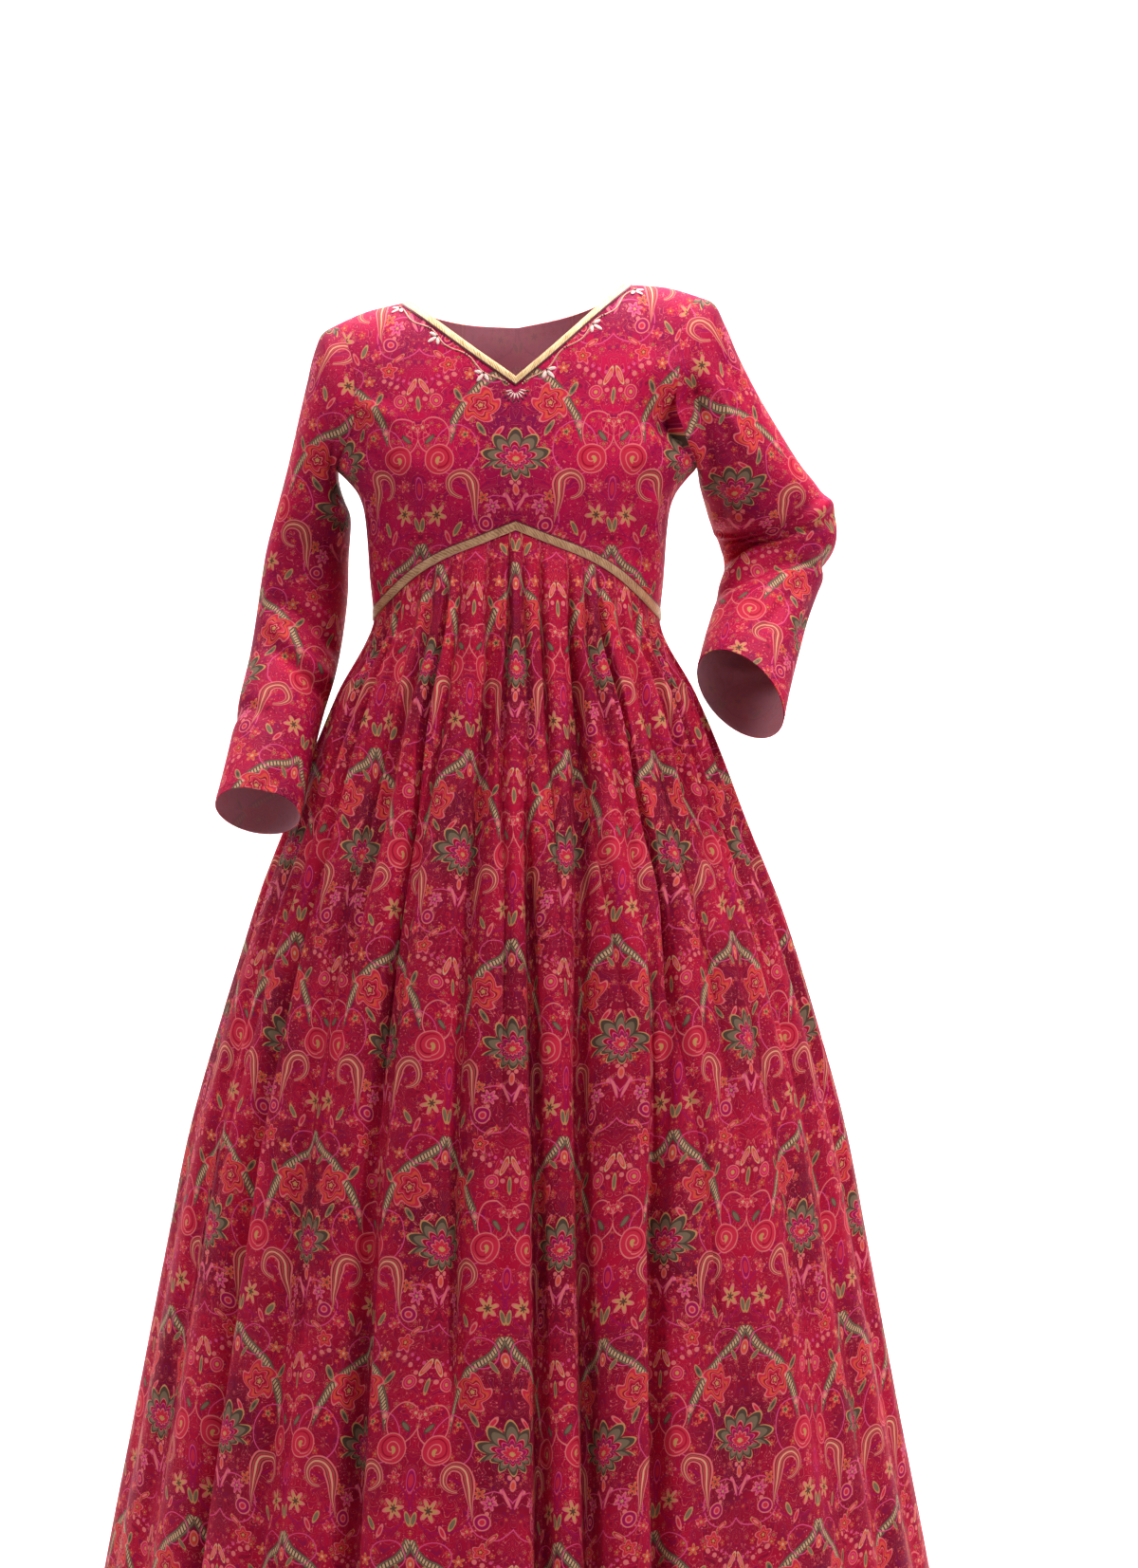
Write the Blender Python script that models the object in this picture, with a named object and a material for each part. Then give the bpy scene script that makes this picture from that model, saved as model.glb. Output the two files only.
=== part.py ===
"""Anarkali gown, worn: a fitted bodice with a V neck, two long sleeves and a floor-length gathered skirt.

Metres, +Z up, the front faces -Y and +X is the wearer's left. The origin is the middle of the shoulder line,
where the gown hangs. Every panel is one wall of cloth whose listed form is its right side (the outside).
"""

import math

import bpy
import numpy as np

NAME = "anarkali_gown"

# Cloth and seams
CLOTH = 0.0015  # wall of every panel
BRAID = 0.0010  # wall of the gold braids
GAP = 0.0003  # clear space at each seam
BRAID_GAP = 0.00034  # clear space under each braid
CORNER = 1.3  # a seam across the body's curve starts this much further off, for its corners
NECK_BRAID = 0.008  # width of the neck braid
WAIST_BRAID = 0.0095  # width of the braid on the seam under the bust

# Shoulders: the wearer's left one is a little higher
TILT = 0.08
TILT_FROM, TILT_FULL = -0.22, -0.04
SHOULDER = ((0.0, 0.033), (0.115, 0.0), (0.155, -0.0065), (0.190, -0.0185), (0.230, -0.036))  # x, height
NECK_POINT = (0.115, 0.0)
TIP = (0.190, -0.0185)
ARMPIT = (0.190, -0.185)
SHOULDER_FROM = -0.16  # height where the chest begins to round over to the shoulder
ROUND = 2.3  # how square the body's section is
ROUND_OVER = 2.2

TORSO = (  # height, half_width, front, back
    (-0.3500, 0.1510, 0.0960, 0.0880),
    (-0.3460, 0.1510, 0.0970, 0.0880),
    (-0.3000, 0.1550, 0.1070, 0.0920),
    (-0.2560, 0.1580, 0.1150, 0.0960),
    (-0.2310, 0.1610, 0.1200, 0.0990),
    (-0.2130, 0.1670, 0.1215, 0.1010),
    (-0.1960, 0.1800, 0.1205, 0.1020),
    (-0.1850, 0.1900, 0.1185, 0.1030),
    (-0.1680, 0.1935, 0.1150, 0.1040),
    (-0.1400, 0.1990, 0.1090, 0.1040),
    (-0.1000, 0.2080, 0.1010, 0.1000),
    (-0.0500, 0.2150, 0.0950, 0.0920),
    (0.0400, 0.2200, 0.0900, 0.0860),
)
WAIST_FRONT = ((0.0, -0.2560), (0.033, -0.2690), (0.073, -0.2845), (0.101, -0.3005), (0.125, -0.3205),
               (0.151, -0.3460))  # x, height
WAIST_BACK = ((0.0, -0.3430), (0.080, -0.3440), (0.151, -0.3460))
NECK_FRONT = ((0.0, -0.0960), (0.040, -0.0640), (0.080, -0.0300), (0.115, 0.0))  # x, height
NECK_BACK = ((0.0, -0.0300), (0.045, -0.0250), (0.090, -0.0140), (0.115, 0.0))
ARMHOLE_FRONT = ((0.190, -0.185), (0.184, -0.174), (0.175, -0.154), (0.168, -0.118), (0.170, -0.070),
                 (0.180, -0.036), (0.190, -0.0185))
ARMHOLE_BACK = ((0.190, -0.185), (0.187, -0.174), (0.180, -0.154), (0.174, -0.118), (0.175, -0.070),
                (0.182, -0.036), (0.190, -0.0185))
SIDE_ROWS, ARM_ROWS = 7, 10  # rows of the bodice beside the side seam and beside the armhole
COLUMNS = 9  # columns from the centre to the side, after the braid's own

# Sleeves: the cap's rings between the armhole and the upper arm
CAP_LEFT = (  # top x, y, z, underarm x, y, z, depth_front, depth_back, drop
    (0.1900, 0.0000, -0.0035, 0.1900, 0.0000, -0.1840, 0.066, 0.064, 0.010),
    (0.2070, 0.0005, -0.0105, 0.1905, 0.0030, -0.1880, 0.065, 0.063, 0.011),
    (0.2190, 0.0020, -0.0320, 0.1915, 0.0090, -0.1935, 0.063, 0.061, 0.013),
    (0.2330, 0.0060, -0.0640, 0.1930, 0.0190, -0.2015, 0.059, 0.058, 0.017),
    (0.2540, 0.0120, -0.1050, 0.1960, 0.0320, -0.2110, 0.054, 0.054, 0.021),
    (0.2800, 0.0200, -0.1490, 0.2000, 0.0470, -0.2220, 0.049, 0.050, 0.025),
    (0.3060, 0.0280, -0.1890, 0.2040, 0.0615, -0.2330, 0.046, 0.046, 0.0285),
)
CAP_RIGHT = (
    (0.1900, 0.0000, -0.0340, 0.1900, 0.0000, -0.1862, 0.066, 0.064, 0.010),
    (0.2045, 0.0003, -0.0425, 0.1905, 0.0010, -0.1905, 0.065, 0.063, 0.009),
    (0.2135, 0.0010, -0.0625, 0.1900, 0.0030, -0.1960, 0.063, 0.062, 0.008),
    (0.2215, 0.0030, -0.0950, 0.1880, 0.0060, -0.2030, 0.061, 0.060, 0.006),
    (0.2310, 0.0070, -0.1350, 0.1850, 0.0100, -0.2110, 0.058, 0.058, 0.004),
    (0.2420, 0.0120, -0.1820, 0.1810, 0.0150, -0.2210, 0.056, 0.056, 0.002),
    (0.2545, 0.0180, -0.2285, 0.1760, 0.0200, -0.2360, 0.054, 0.054, 0.000),
)
ELBOW = (0.283, 0.088, -0.253)
CUFF = (0.232, -0.067, -0.423)
CUFF_FACES = (-0.58, -0.69, -0.39)
ELBOW_RADIUS = 0.063
ARM_LEFT = (  # length along, half_width, half_depth, outward
    (0.00, 0.0580, 0.0460, 0.0000),
    (0.10, 0.0620, 0.0480, 0.0040),
    (0.19, 0.0630, 0.0490, 0.0080),
    (0.28, 0.0570, 0.0480, 0.0050),
    (0.36, 0.0520, 0.0460, 0.0015),
    (0.60, 0.0500, 0.0440, 0.0000),
    (0.80, 0.0505, 0.0440, 0.0000),
    (1.00, 0.0510, 0.0440, 0.0015),
)
ARM_RIGHT = (  # x, y, z, half_width, half_depth
    (0.2155, 0.020, -0.235, 0.0400, 0.0540),
    (0.2220, 0.026, -0.275, 0.0440, 0.0520),
    (0.2255, 0.027, -0.311, 0.0465, 0.0500),
    (0.2300, 0.020, -0.350, 0.0470, 0.0490),
    (0.2360, 0.000, -0.391, 0.0465, 0.0460),
    (0.2460, -0.030, -0.435, 0.0450, 0.0450),
    (0.2560, -0.069, -0.490, 0.0440, 0.0430),
    (0.2660, -0.108, -0.545, 0.0450, 0.0420),
)
AROUND_ARM = 2 * ARM_ROWS

# Skirt
HEM = -1.422
SKIRT = (  # height, half_width, front, back, squareness
    (-0.2400, 0.1560, 0.1120, 0.0880, 2.30),
    (-0.3000, 0.1500, 0.1275, 0.0880, 2.30),
    (-0.3460, 0.1510, 0.1420, 0.0880, 2.30),
    (-0.4240, 0.1850, 0.1660, 0.1190, 2.22),
    (-0.4740, 0.2060, 0.1820, 0.1430, 2.16),
    (-0.5520, 0.2360, 0.2070, 0.1760, 2.10),
    (-0.6430, 0.2740, 0.2380, 0.2090, 2.06),
    (-0.7580, 0.3120, 0.2690, 0.2440, 2.03),
    (-0.8880, 0.3490, 0.2980, 0.2750, 2.00),
    (-0.9770, 0.3670, 0.3150, 0.2940, 2.00),
    (-1.1610, 0.4030, 0.3470, 0.3310, 2.00),
    (-1.3390, 0.4380, 0.3770, 0.3660, 2.00),
    (-1.4220, 0.4530, 0.3900, 0.3800, 2.00),
)
ROWS_DOWN = (0.0, 0.010, 0.030, 0.065, 0.11, 0.17, 0.25, 0.35, 0.46, 0.58, 0.71, 0.85, 1.0)
GATHERS = 22  # in each panel of the skirt
PER_GATHER = 4
GATHER_DEPTH = ((0.0, 0.0), (0.010, 0.0010), (0.030, 0.0024), (0.065, 0.0030), (0.11, 0.0032), (0.17, 0.0030),
                (0.25, 0.0022), (0.35, 0.0012), (0.46, 0.0004), (0.60, 0.0), (1.0, 0.0))  # length down, depth
FOLDS_FRONT = (  # at_top, at_middle, at_hem, from, to, width_top, width_hem, deep_top, deep_hem
    (-0.095, -0.118, -0.100, 0.08, 0.82, 0.012, 0.024, 0.008, 0.012),
    (0.036, 0.047, 0.046, 0.24, 1.10, 0.012, 0.024, 0.006, 0.024),
    (0.262, 0.146, 0.134, 0.06, 1.10, 0.013, 0.024, 0.009, 0.024),
    (0.345, 0.266, 0.235, 0.34, 1.10, 0.014, 0.025, 0.004, 0.022),
    (0.470, 0.350, 0.262, 0.20, 0.70, 0.013, 0.022, 0.009, 0.006),
    (0.620, 0.550, 0.470, 0.10, 0.42, 0.013, 0.020, 0.006, 0.002),
    (0.470, 0.395, 0.365, 0.36, 1.10, 0.030, 0.048, 0.006, 0.012),
    (0.600, 0.600, 0.620, 0.34, 1.10, 0.018, 0.034, 0.005, 0.015),
    (0.740, 0.730, 0.740, 0.12, 1.10, 0.016, 0.032, 0.005, 0.016),
    (0.880, 0.880, 0.880, 0.20, 1.10, 0.018, 0.032, 0.004, 0.011),
    (-0.300, -0.285, -0.270, 0.16, 1.10, 0.016, 0.026, 0.006, 0.022),
    (-0.450, -0.440, -0.430, 0.12, 1.10, 0.016, 0.032, 0.006, 0.016),
    (-0.600, -0.590, -0.580, 0.20, 1.10, 0.016, 0.026, 0.006, 0.022),
    (-0.760, -0.750, -0.745, 0.14, 1.10, 0.016, 0.034, 0.006, 0.014),
    (-0.900, -0.895, -0.890, 0.24, 1.10, 0.018, 0.032, 0.004, 0.011),
)
FOLDS_BACK = (
    (-0.880, -0.875, -0.870, 0.20, 1.10, 0.018, 0.034, 0.004, 0.012),
    (-0.720, -0.710, -0.715, 0.12, 1.10, 0.016, 0.032, 0.006, 0.016),
    (-0.560, -0.555, -0.560, 0.24, 1.10, 0.018, 0.034, 0.004, 0.014),
    (-0.420, -0.400, -0.395, 0.10, 1.10, 0.014, 0.028, 0.007, 0.018),
    (-0.280, -0.265, -0.240, 0.20, 1.10, 0.016, 0.034, 0.005, 0.014),
    (-0.120, -0.110, -0.090, 0.08, 1.10, 0.014, 0.030, 0.007, 0.017),
    (0.040, 0.050, 0.065, 0.16, 1.10, 0.016, 0.034, 0.005, 0.015),
    (0.180, 0.200, 0.215, 0.08, 1.10, 0.014, 0.030, 0.007, 0.018),
    (0.340, 0.365, 0.380, 0.22, 1.10, 0.018, 0.034, 0.005, 0.014),
    (0.500, 0.515, 0.530, 0.10, 1.10, 0.014, 0.030, 0.007, 0.017),
    (0.680, 0.700, 0.705, 0.18, 1.10, 0.016, 0.034, 0.005, 0.015),
    (0.860, 0.870, 0.875, 0.14, 1.10, 0.016, 0.032, 0.005, 0.013),
)

COLOURS = {  # slot: colour, roughness, metallic
    "printed_cloth": ((0.60, 0.02, 0.11, 1.0), 0.55, 0.0),
    "gold_braid": ((0.72, 0.48, 0.22, 1.0), 0.40, 0.6),
}


def smooth(at, table, column=1):
    """A smooth curve through a table's rows, with no overshoot between them."""
    rows = table if table[0][0] < table[-1][0] else table[::-1]
    xs = np.array([row[0] for row in rows])
    ys = np.array([row[column] for row in rows])
    step = np.diff(xs)
    slope = np.diff(ys) / step
    tangent = np.zeros(len(xs))
    tangent[0], tangent[-1] = slope[0], slope[-1]
    same = slope[:-1] * slope[1:] > 0
    inner = np.zeros(len(xs) - 2)
    inner[same] = 2 * (slope[:-1] * slope[1:])[same] / (slope[:-1] + slope[1:])[same]
    tangent[1:-1] = inner
    at = np.clip(at, xs[0], xs[-1])
    low = np.clip(np.searchsorted(xs, at, side="right") - 1, 0, len(step) - 1)
    u = (at - xs[low]) / step[low]
    return (
        ys[low] * (2 * u**3 - 3 * u**2 + 1)
        + tangent[low] * step[low] * (u**3 - 2 * u**2 + u)
        + ys[low + 1] * (3 * u**2 - 2 * u**3)
        + tangent[low + 1] * step[low] * (u**3 - u**2)
    )


def ease(at, start, end):
    """0 before start, 1 after end, and an even curve between."""
    u = np.clip((at - start) / (end - start), 0.0, 1.0)
    return u * u * (3 - 2 * u)


def unit(vectors):
    return vectors / np.linalg.norm(vectors, axis=-1, keepdims=True)


def along(points, count):
    """Points evenly spaced along a line of points, by its length."""
    length = np.concatenate([[0.0], np.cumsum(np.linalg.norm(np.diff(points, axis=0), axis=1))])
    want = np.linspace(0.0, length[-1], count)
    return np.stack([np.interp(want, length, points[:, k]) for k in range(points.shape[1])], axis=1)


# ---------------------------------------------------------------- bodice


def stand_out(x, z, side):
    """How far the bodice's front or back stands out from the plane of the side seams."""
    wide = smooth(z, TORSO, 1)
    deep = smooth(z, TORSO, 2 if side == "front" else 3)
    across = (1 - np.clip(np.abs(x) / wide, 0, 1) ** ROUND) ** (1 / ROUND)
    over = np.clip((z - SHOULDER_FROM) / (smooth(np.abs(x), SHOULDER) - SHOULDER_FROM), 0, 1)
    return deep * across * (1 - over**ROUND_OVER) ** (1 / ROUND_OVER)


def on_bodice(x, z, side, seam=None):
    """The bodice's points at x and z, and which way each faces. A point of a side or shoulder seam faces along
    the seam's plane, so the two panels' edges are parallel."""
    facing = -1.0 if side == "front" else 1.0
    h = 1e-4
    across = (stand_out(x + h, z, side) - stand_out(x - h, z, side)) / (2 * h)
    up = (stand_out(x, z + h, side) - stand_out(x, z - h, side)) / (2 * h)
    points = np.stack([x, facing * stand_out(x, z, side), z], axis=-1)
    normals = np.stack([-across, np.full_like(x, facing), -up], axis=-1)
    if seam is not None:
        normals[seam, 1] = 0.0
        points[seam, 1] = 0.0
    normals = unit(normals)
    lean = ease(z, TILT_FROM, TILT_FULL)
    change = (ease(z + h, TILT_FROM, TILT_FULL) - ease(z - h, TILT_FROM, TILT_FULL)) / (2 * h)
    stretch = 1 + TILT * x * change
    tilted = normals.copy()
    tilted[..., 0] -= TILT * lean / stretch * normals[..., 2]
    tilted[..., 2] /= stretch
    points[..., 2] += TILT * x * lean
    return points, unit(tilted)


def edge(table, side, count, fine=160):
    """A panel's edge given by a table of x and height, as points evenly spaced over the body."""
    given = np.array(table)
    length = np.concatenate([[0.0], np.cumsum(np.linalg.norm(np.diff(given, axis=0), axis=1))])
    at = np.linspace(0, length[-1], fine)
    x = smooth(at, list(zip(length, given[:, 0])))
    z = smooth(at, list(zip(length, given[:, 1])))
    points = np.stack([x, stand_out(x, z, side), z], axis=1)
    return along(points, count)[:, [0, 2]]


def bodice_half(side):
    """Half a bodice panel as rows of x and height, from the waist seam up, each from the centre to the side."""
    waist, neck, armhole = (
        (WAIST_FRONT, NECK_FRONT, ARMHOLE_FRONT) if side == "front" else (WAIST_BACK, NECK_BACK, ARMHOLE_BACK)
    )
    rows = SIDE_ROWS + ARM_ROWS
    neck_rows = 8 if side == "front" else 5
    centre_rows = rows - neck_rows
    # The inner edge: two rows take the waist braid and the braid under the neck's point
    low, high = waist[0][1], neck[0][1]
    tip_drop = 0.0112
    heights = np.concatenate(
        [[low, low + WAIST_BRAID], np.linspace(low + WAIST_BRAID, high - tip_drop, centre_rows - 1)[1:], [high]]
    )
    centre = np.stack([np.zeros(centre_rows + 1), heights], axis=1)
    collar = edge(neck, side, neck_rows + 1)
    inner = np.concatenate([centre, collar[1:]])
    # The braid's outer edge beside it
    way = np.gradient(collar, axis=0)
    out = unit(np.stack([way[:, 1], -way[:, 0]], axis=1))
    out[0] = unit(np.array([[0.52, -0.30]]) if side == "front" else np.array([[0.30, -0.60]]))[0]
    shoulder_way = unit(np.array(TIP) - np.array(NECK_POINT))
    out[-1] = shoulder_way
    beside = collar + NECK_BRAID * out
    beside[-1, 1] = smooth(beside[-1, 0], SHOULDER)
    below = np.stack([np.full(centre_rows, 0.011), heights[:-1]], axis=1)
    below[:, 0] += 0.004 * np.linspace(1, 0, centre_rows)
    second = np.concatenate([below, beside])
    # The waist seam, the outer edge and the shoulder seam
    seam = edge(waist, side, 400)
    start = second[0, 0]
    seam_points = seam[seam[:, 0] >= start]
    deep = stand_out(seam_points[:, 0], seam_points[:, 1], side)
    bottom = along(np.stack([seam_points[:, 0], deep, seam_points[:, 1]], axis=1), COLUMNS + 1)[:, [0, 2]]
    second[0] = bottom[0]
    second[1] = bottom[0] + np.array([0.0, WAIST_BRAID * 1.06])
    inner[0, 1] = seam[0, 1]
    side_z = np.linspace(bottom[-1, 1], ARMPIT[1], SIDE_ROWS + 1)
    side_z[1] = side_z[0] + WAIST_BRAID * 0.95
    side_z[2:-1] = np.linspace(side_z[1], ARMPIT[1], SIDE_ROWS)[1:-1]
    side_edge = np.stack([smooth(side_z, TORSO, 1), side_z], axis=1)
    outer = np.concatenate([side_edge, edge(armhole, side, ARM_ROWS + 1)[1:]])
    outer[-1] = TIP
    wide = (bottom[:, 0] - bottom[0, 0]) / (bottom[-1, 0] - bottom[0, 0])
    top_x = second[-1, 0] + wide * (TIP[0] - second[-1, 0])
    top = np.stack([top_x, smooth(top_x, SHOULDER)], axis=1)
    high_of = [np.concatenate([[0], np.cumsum(np.linalg.norm(np.diff(e, axis=0), axis=1))]) for e in (second, outer)]
    v = sum(h / h[-1] for h in high_of)[:, None, None] / 2
    w = wide[None, :, None]
    patch = (
        (1 - v) * bottom[None] + v * top[None] + (1 - w) * second[:, None] + w * outer[:, None]
        - (1 - v) * (1 - w) * bottom[0] - (1 - v) * w * bottom[-1] - v * (1 - w) * top[0] - v * w * top[-1]
    )
    # The second row lies the braid's width above the first
    lift = patch[0] + np.stack([np.zeros(len(wide)), np.full(len(wide), WAIST_BRAID)], axis=1)
    slope = np.gradient(bottom[:, 1], bottom[:, 0])
    lift[:, 0] = bottom[:, 0] - slope / np.sqrt(1 + slope**2) * WAIST_BRAID * (1 - wide)
    patch[1] = lift
    patch[1, -1] = outer[1]
    patch[1, 0] = second[1]
    return np.concatenate([inner[:, None], patch], axis=1), centre_rows


class Bodice:
    """Both halves of a bodice panel: points, facings and triangles."""

    def __init__(self, side):
        self.side = side
        half, self.split = bodice_half(side)
        rows, columns = half.shape[:2]
        at_seam = np.zeros((rows, columns), bool)
        at_seam[: SIDE_ROWS + 1, -1] = True
        at_seam[-1, :] = True
        self.left = on_bodice(half[..., 0], half[..., 1], side, at_seam)
        self.right = on_bodice(-half[..., 0], half[..., 1], side, at_seam)
        count = rows * columns
        self.left_index = np.arange(count).reshape(rows, columns)
        self.right_index = self.left_index + count
        self.right_index[: self.split + 1, 0] = self.left_index[: self.split + 1, 0]
        self.points = np.concatenate([self.left[0].reshape(-1, 3), self.right[0].reshape(-1, 3)])
        self.normals = np.concatenate([self.left[1].reshape(-1, 3), self.right[1].reshape(-1, 3)])
        shift = -GAP / 2 if side == "front" else GAP / 2
        self.points = self.points + np.array([0, shift, 0])

    def faces(self):
        return np.concatenate([strips(self.points, g, self.normals) for g in (self.left_index, self.right_index)])

    def waist(self):
        """The waist seam from the wearer's right to the left."""
        order = np.concatenate([self.right_index[0, :0:-1], self.left_index[0]])
        return self.points[order], self.normals[order]

    def armhole(self, index):
        edge_of = index[SIDE_ROWS:, -1]
        return self.points[edge_of], self.normals[edge_of]


# ---------------------------------------------------------------- meshes


def strips(points, grid, normals, closed=False, lean=None):
    """Two triangles for each cell of a grid of point numbers, cut along its shorter diagonal."""
    if closed:
        grid = np.concatenate([grid, grid[:, :1]], axis=1)
    a, b, c, d = grid[:-1, :-1], grid[:-1, 1:], grid[1:, 1:], grid[1:, :-1]
    a, b, c, d = (k.reshape(-1) for k in (a, b, c, d))
    first = np.linalg.norm(points[a] - points[c], axis=1) <= np.linalg.norm(points[b] - points[d], axis=1)
    if lean is not None:
        first[:] = lean
    one = np.where(first[:, None], np.stack([a, b, c], 1), np.stack([a, b, d], 1))
    two = np.where(first[:, None], np.stack([a, c, d], 1), np.stack([b, c, d], 1))
    faces = np.concatenate([one, two])
    flat = np.cross(points[faces[:, 1]] - points[faces[:, 0]], points[faces[:, 2]] - points[faces[:, 0]])
    if (flat * normals[faces].sum(axis=1)).sum() < 0:
        faces = faces[:, ::-1]
    return faces


def cloth(name, slot, points, normals, faces, wall, lift=0.0):
    """One closed body: the faces, the same faces moved in by the wall, and the rim between them."""
    used, faces = np.unique(faces, return_inverse=True)
    faces = faces.reshape(-1, 3)
    outside = points[used] + normals[used] * lift
    inside = outside - normals[used] * wall
    count = len(used)
    seen = {(a, b) for f in faces.tolist() for a, b in ((f[0], f[1]), (f[1], f[2]), (f[2], f[0]))}
    rim = [(a, b) for a, b in seen if (b, a) not in seen]
    shell = faces.tolist() + (faces[:, ::-1] + count).tolist()
    for a, b in rim:
        shell += [(b, a, a + count), (b, a + count, b + count)]
    mesh = bpy.data.meshes.new(name)
    mesh.from_pydata(np.concatenate([outside, inside]).tolist(), [], shell)
    mesh.validate()
    material = bpy.data.materials.new(name + "_" + slot)
    material.use_nodes = True
    shader = material.node_tree.nodes["Principled BSDF"]
    colour, rough, metal = COLOURS[slot]
    shader.inputs["Base Color"].default_value = colour
    shader.inputs["Roughness"].default_value = rough
    shader.inputs["Metallic"].default_value = metal
    mesh.materials.append(material)
    piece = bpy.data.objects.new(name, mesh)
    gown.objects.link(piece)
    print(name, "triangles", len(shell))
    return piece


# ---------------------------------------------------------------- sleeves


def cap(table, armhole, turn):
    """Rings from the armhole to the upper arm. The first is the armhole itself."""
    rings = []
    for k, row in enumerate(table):
        top, under = np.array(row[0:3]), np.array(row[3:6])
        front, back, drop = row[6:9]
        middle, half = (top + under) / 2, (top - under) / 2
        forward = np.where(np.sin(turn) >= 0, front, back) * np.sin(turn)
        ring = middle - np.cos(turn)[:, None] * half
        ring[:, 1] -= forward
        ring[:, 2] -= forward / front * drop
        if k == 0:
            first = ring.copy()
        part = (1 - k / (len(table) - 1)) ** 2
        rings.append(ring + (armhole - first) * part)
    return rings


def ring_at(centre, way, wide, deep, turn):
    """A ring round the arm: its first point is on the body's side, its second quarter in front."""
    across = unit(np.array([1.0, 0.0, 0.0]) - way[0] * way)
    ahead = np.cross(way, across)
    return centre - np.cos(turn)[:, None] * across * wide + np.sin(turn)[:, None] * ahead * deep


def bent_arm(start, turn):
    """Rings down the wearer's left sleeve: upper arm, round the elbow, then forward to the slanted cuff."""
    elbow, cuff = np.array(ELBOW), np.array(CUFF)
    down, forward = unit(elbow - start), unit(cuff - elbow)
    bend = math.acos(float(down @ forward))
    reach = ELBOW_RADIUS * math.tan(bend / 2)
    into, out = elbow - down * reach, elbow + forward * reach
    inward = unit(forward - (forward @ down) * down)
    pivot = into + inward * ELBOW_RADIUS
    stations = []
    for u in (0.14, 0.28, 0.40, 0.52, 0.74, 1.0):
        a = bend * u
        way = math.cos(a) * down + math.sin(a) * inward
        stations.append((pivot - ELBOW_RADIUS * (math.cos(a) * inward - math.sin(a) * down), way))
    for u in (0.25, 0.5, 0.75, 1.0):
        stations.append((out + (cuff - out) * u, forward))
    length = [np.linalg.norm(stations[0][0] - start)]
    for one, two in zip(stations, stations[1:]):
        length.append(length[-1] + np.linalg.norm(two[0] - one[0]))
    rings = []
    faces = unit(np.array(CUFF_FACES))
    for (centre, way), at in zip(stations, length):
        u = at / length[-1]
        ring = ring_at(centre, way, smooth(u, ARM_LEFT, 1), smooth(u, ARM_LEFT, 2), turn)
        ring[:, 0] += smooth(u, ARM_LEFT, 3)
        slant = ease(u, 0.45, 1.0)
        ring = ring + forward * (-((ring - centre) @ faces) / (forward @ faces) * slant)[:, None]
        rings.append(ring)
    # The crease across the front of the elbow, with the upper sleeve bulging over it
    front = np.clip(np.sin(turn), 0, 1)[:, None] ** 0.7
    for k, push in ((1, 0.0015), (2, -0.0045), (3, -0.001)):
        rings[k] = rings[k] + (stations[k][0] - rings[k]) * front * (-push / 0.046)
    return rings


def hanging_arm(turn):
    """Rings down the wearer's right sleeve, which hangs beside the skirt."""
    table = np.array(ARM_RIGHT)
    ways = unit(np.gradient(table[:, :3], axis=0))
    return [ring_at(row[:3], way, row[3], row[4], turn) for row, way in zip(table, ways)][1:]


def sleeve(name, fronts, backs, left):
    """One sleeve, sewn to the armhole of both bodice panels."""
    mirror = np.array([1.0, 1.0, 1.0]) if left else np.array([-1.0, 1.0, 1.0])
    (front, front_faces), (back, back_faces) = fronts, backs
    loop = np.concatenate([[(front[0] + back[0]) / 2], front[1:-1], [(front[-1] + back[-1]) / 2], back[-2:0:-1]])
    facing = np.concatenate(
        [[front_faces[0]], front_faces[1:-1], [front_faces[-1]], back_faces[-2:0:-1]]
    )
    loop, facing = loop * mirror, facing * mirror
    tangent = unit(np.roll(loop, -1, axis=0) - np.roll(loop, 1, axis=0))
    away = unit(np.cross(facing, tangent))
    middle = loop.mean(axis=0)
    away *= np.sign(((middle - loop) * away).sum(axis=1))[:, None]
    start = loop + away * GAP * CORNER
    turn = np.linspace(0, 2 * math.pi, AROUND_ARM, endpoint=False)
    table = CAP_LEFT if left else CAP_RIGHT
    rings = cap(table, start, turn)
    shoulder_end = (np.array(table[-1][0:3]) + np.array(table[-1][3:6])) / 2
    rings += bent_arm(shoulder_end, turn) if left else hanging_arm(turn)
    points = np.array(rings)
    normals = tube_normals(points)
    # Under the arm the sleeve folds back past the armhole's edge, so it starts further in
    back_past = ((points[1] - points[0]) * away).sum(axis=1) < 0.002
    extra = GAP * CORNER * (1 + np.clip((normals[0] * away).sum(axis=1), -1, 0)) * back_past
    points[0] -= normals[0] * extra[:, None]
    over = (normals[0] * away).sum(axis=1)
    normals[0] = unit(normals[0] - np.clip(over, 0, None)[:, None] * away)
    points, normals = (points * mirror).reshape(-1, 3), (normals * mirror).reshape(-1, 3)
    grid = np.arange(len(points)).reshape(len(rings), AROUND_ARM)
    faces = strips(points, grid, normals, closed=True)
    return cloth(name, "printed_cloth", points, normals, faces, CLOTH)


def tube_normals(points):
    """Which way each point of a closed tube of rings faces, outwards."""
    round_it = np.roll(points, -1, axis=1) - np.roll(points, 1, axis=1)
    down = np.gradient(points, axis=0)
    normals = unit(np.cross(round_it, down))
    centre = points.mean(axis=1, keepdims=True)
    if ((points - centre) * normals).sum() < 0:
        normals = -normals
    return normals


# ---------------------------------------------------------------- skirt


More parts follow.
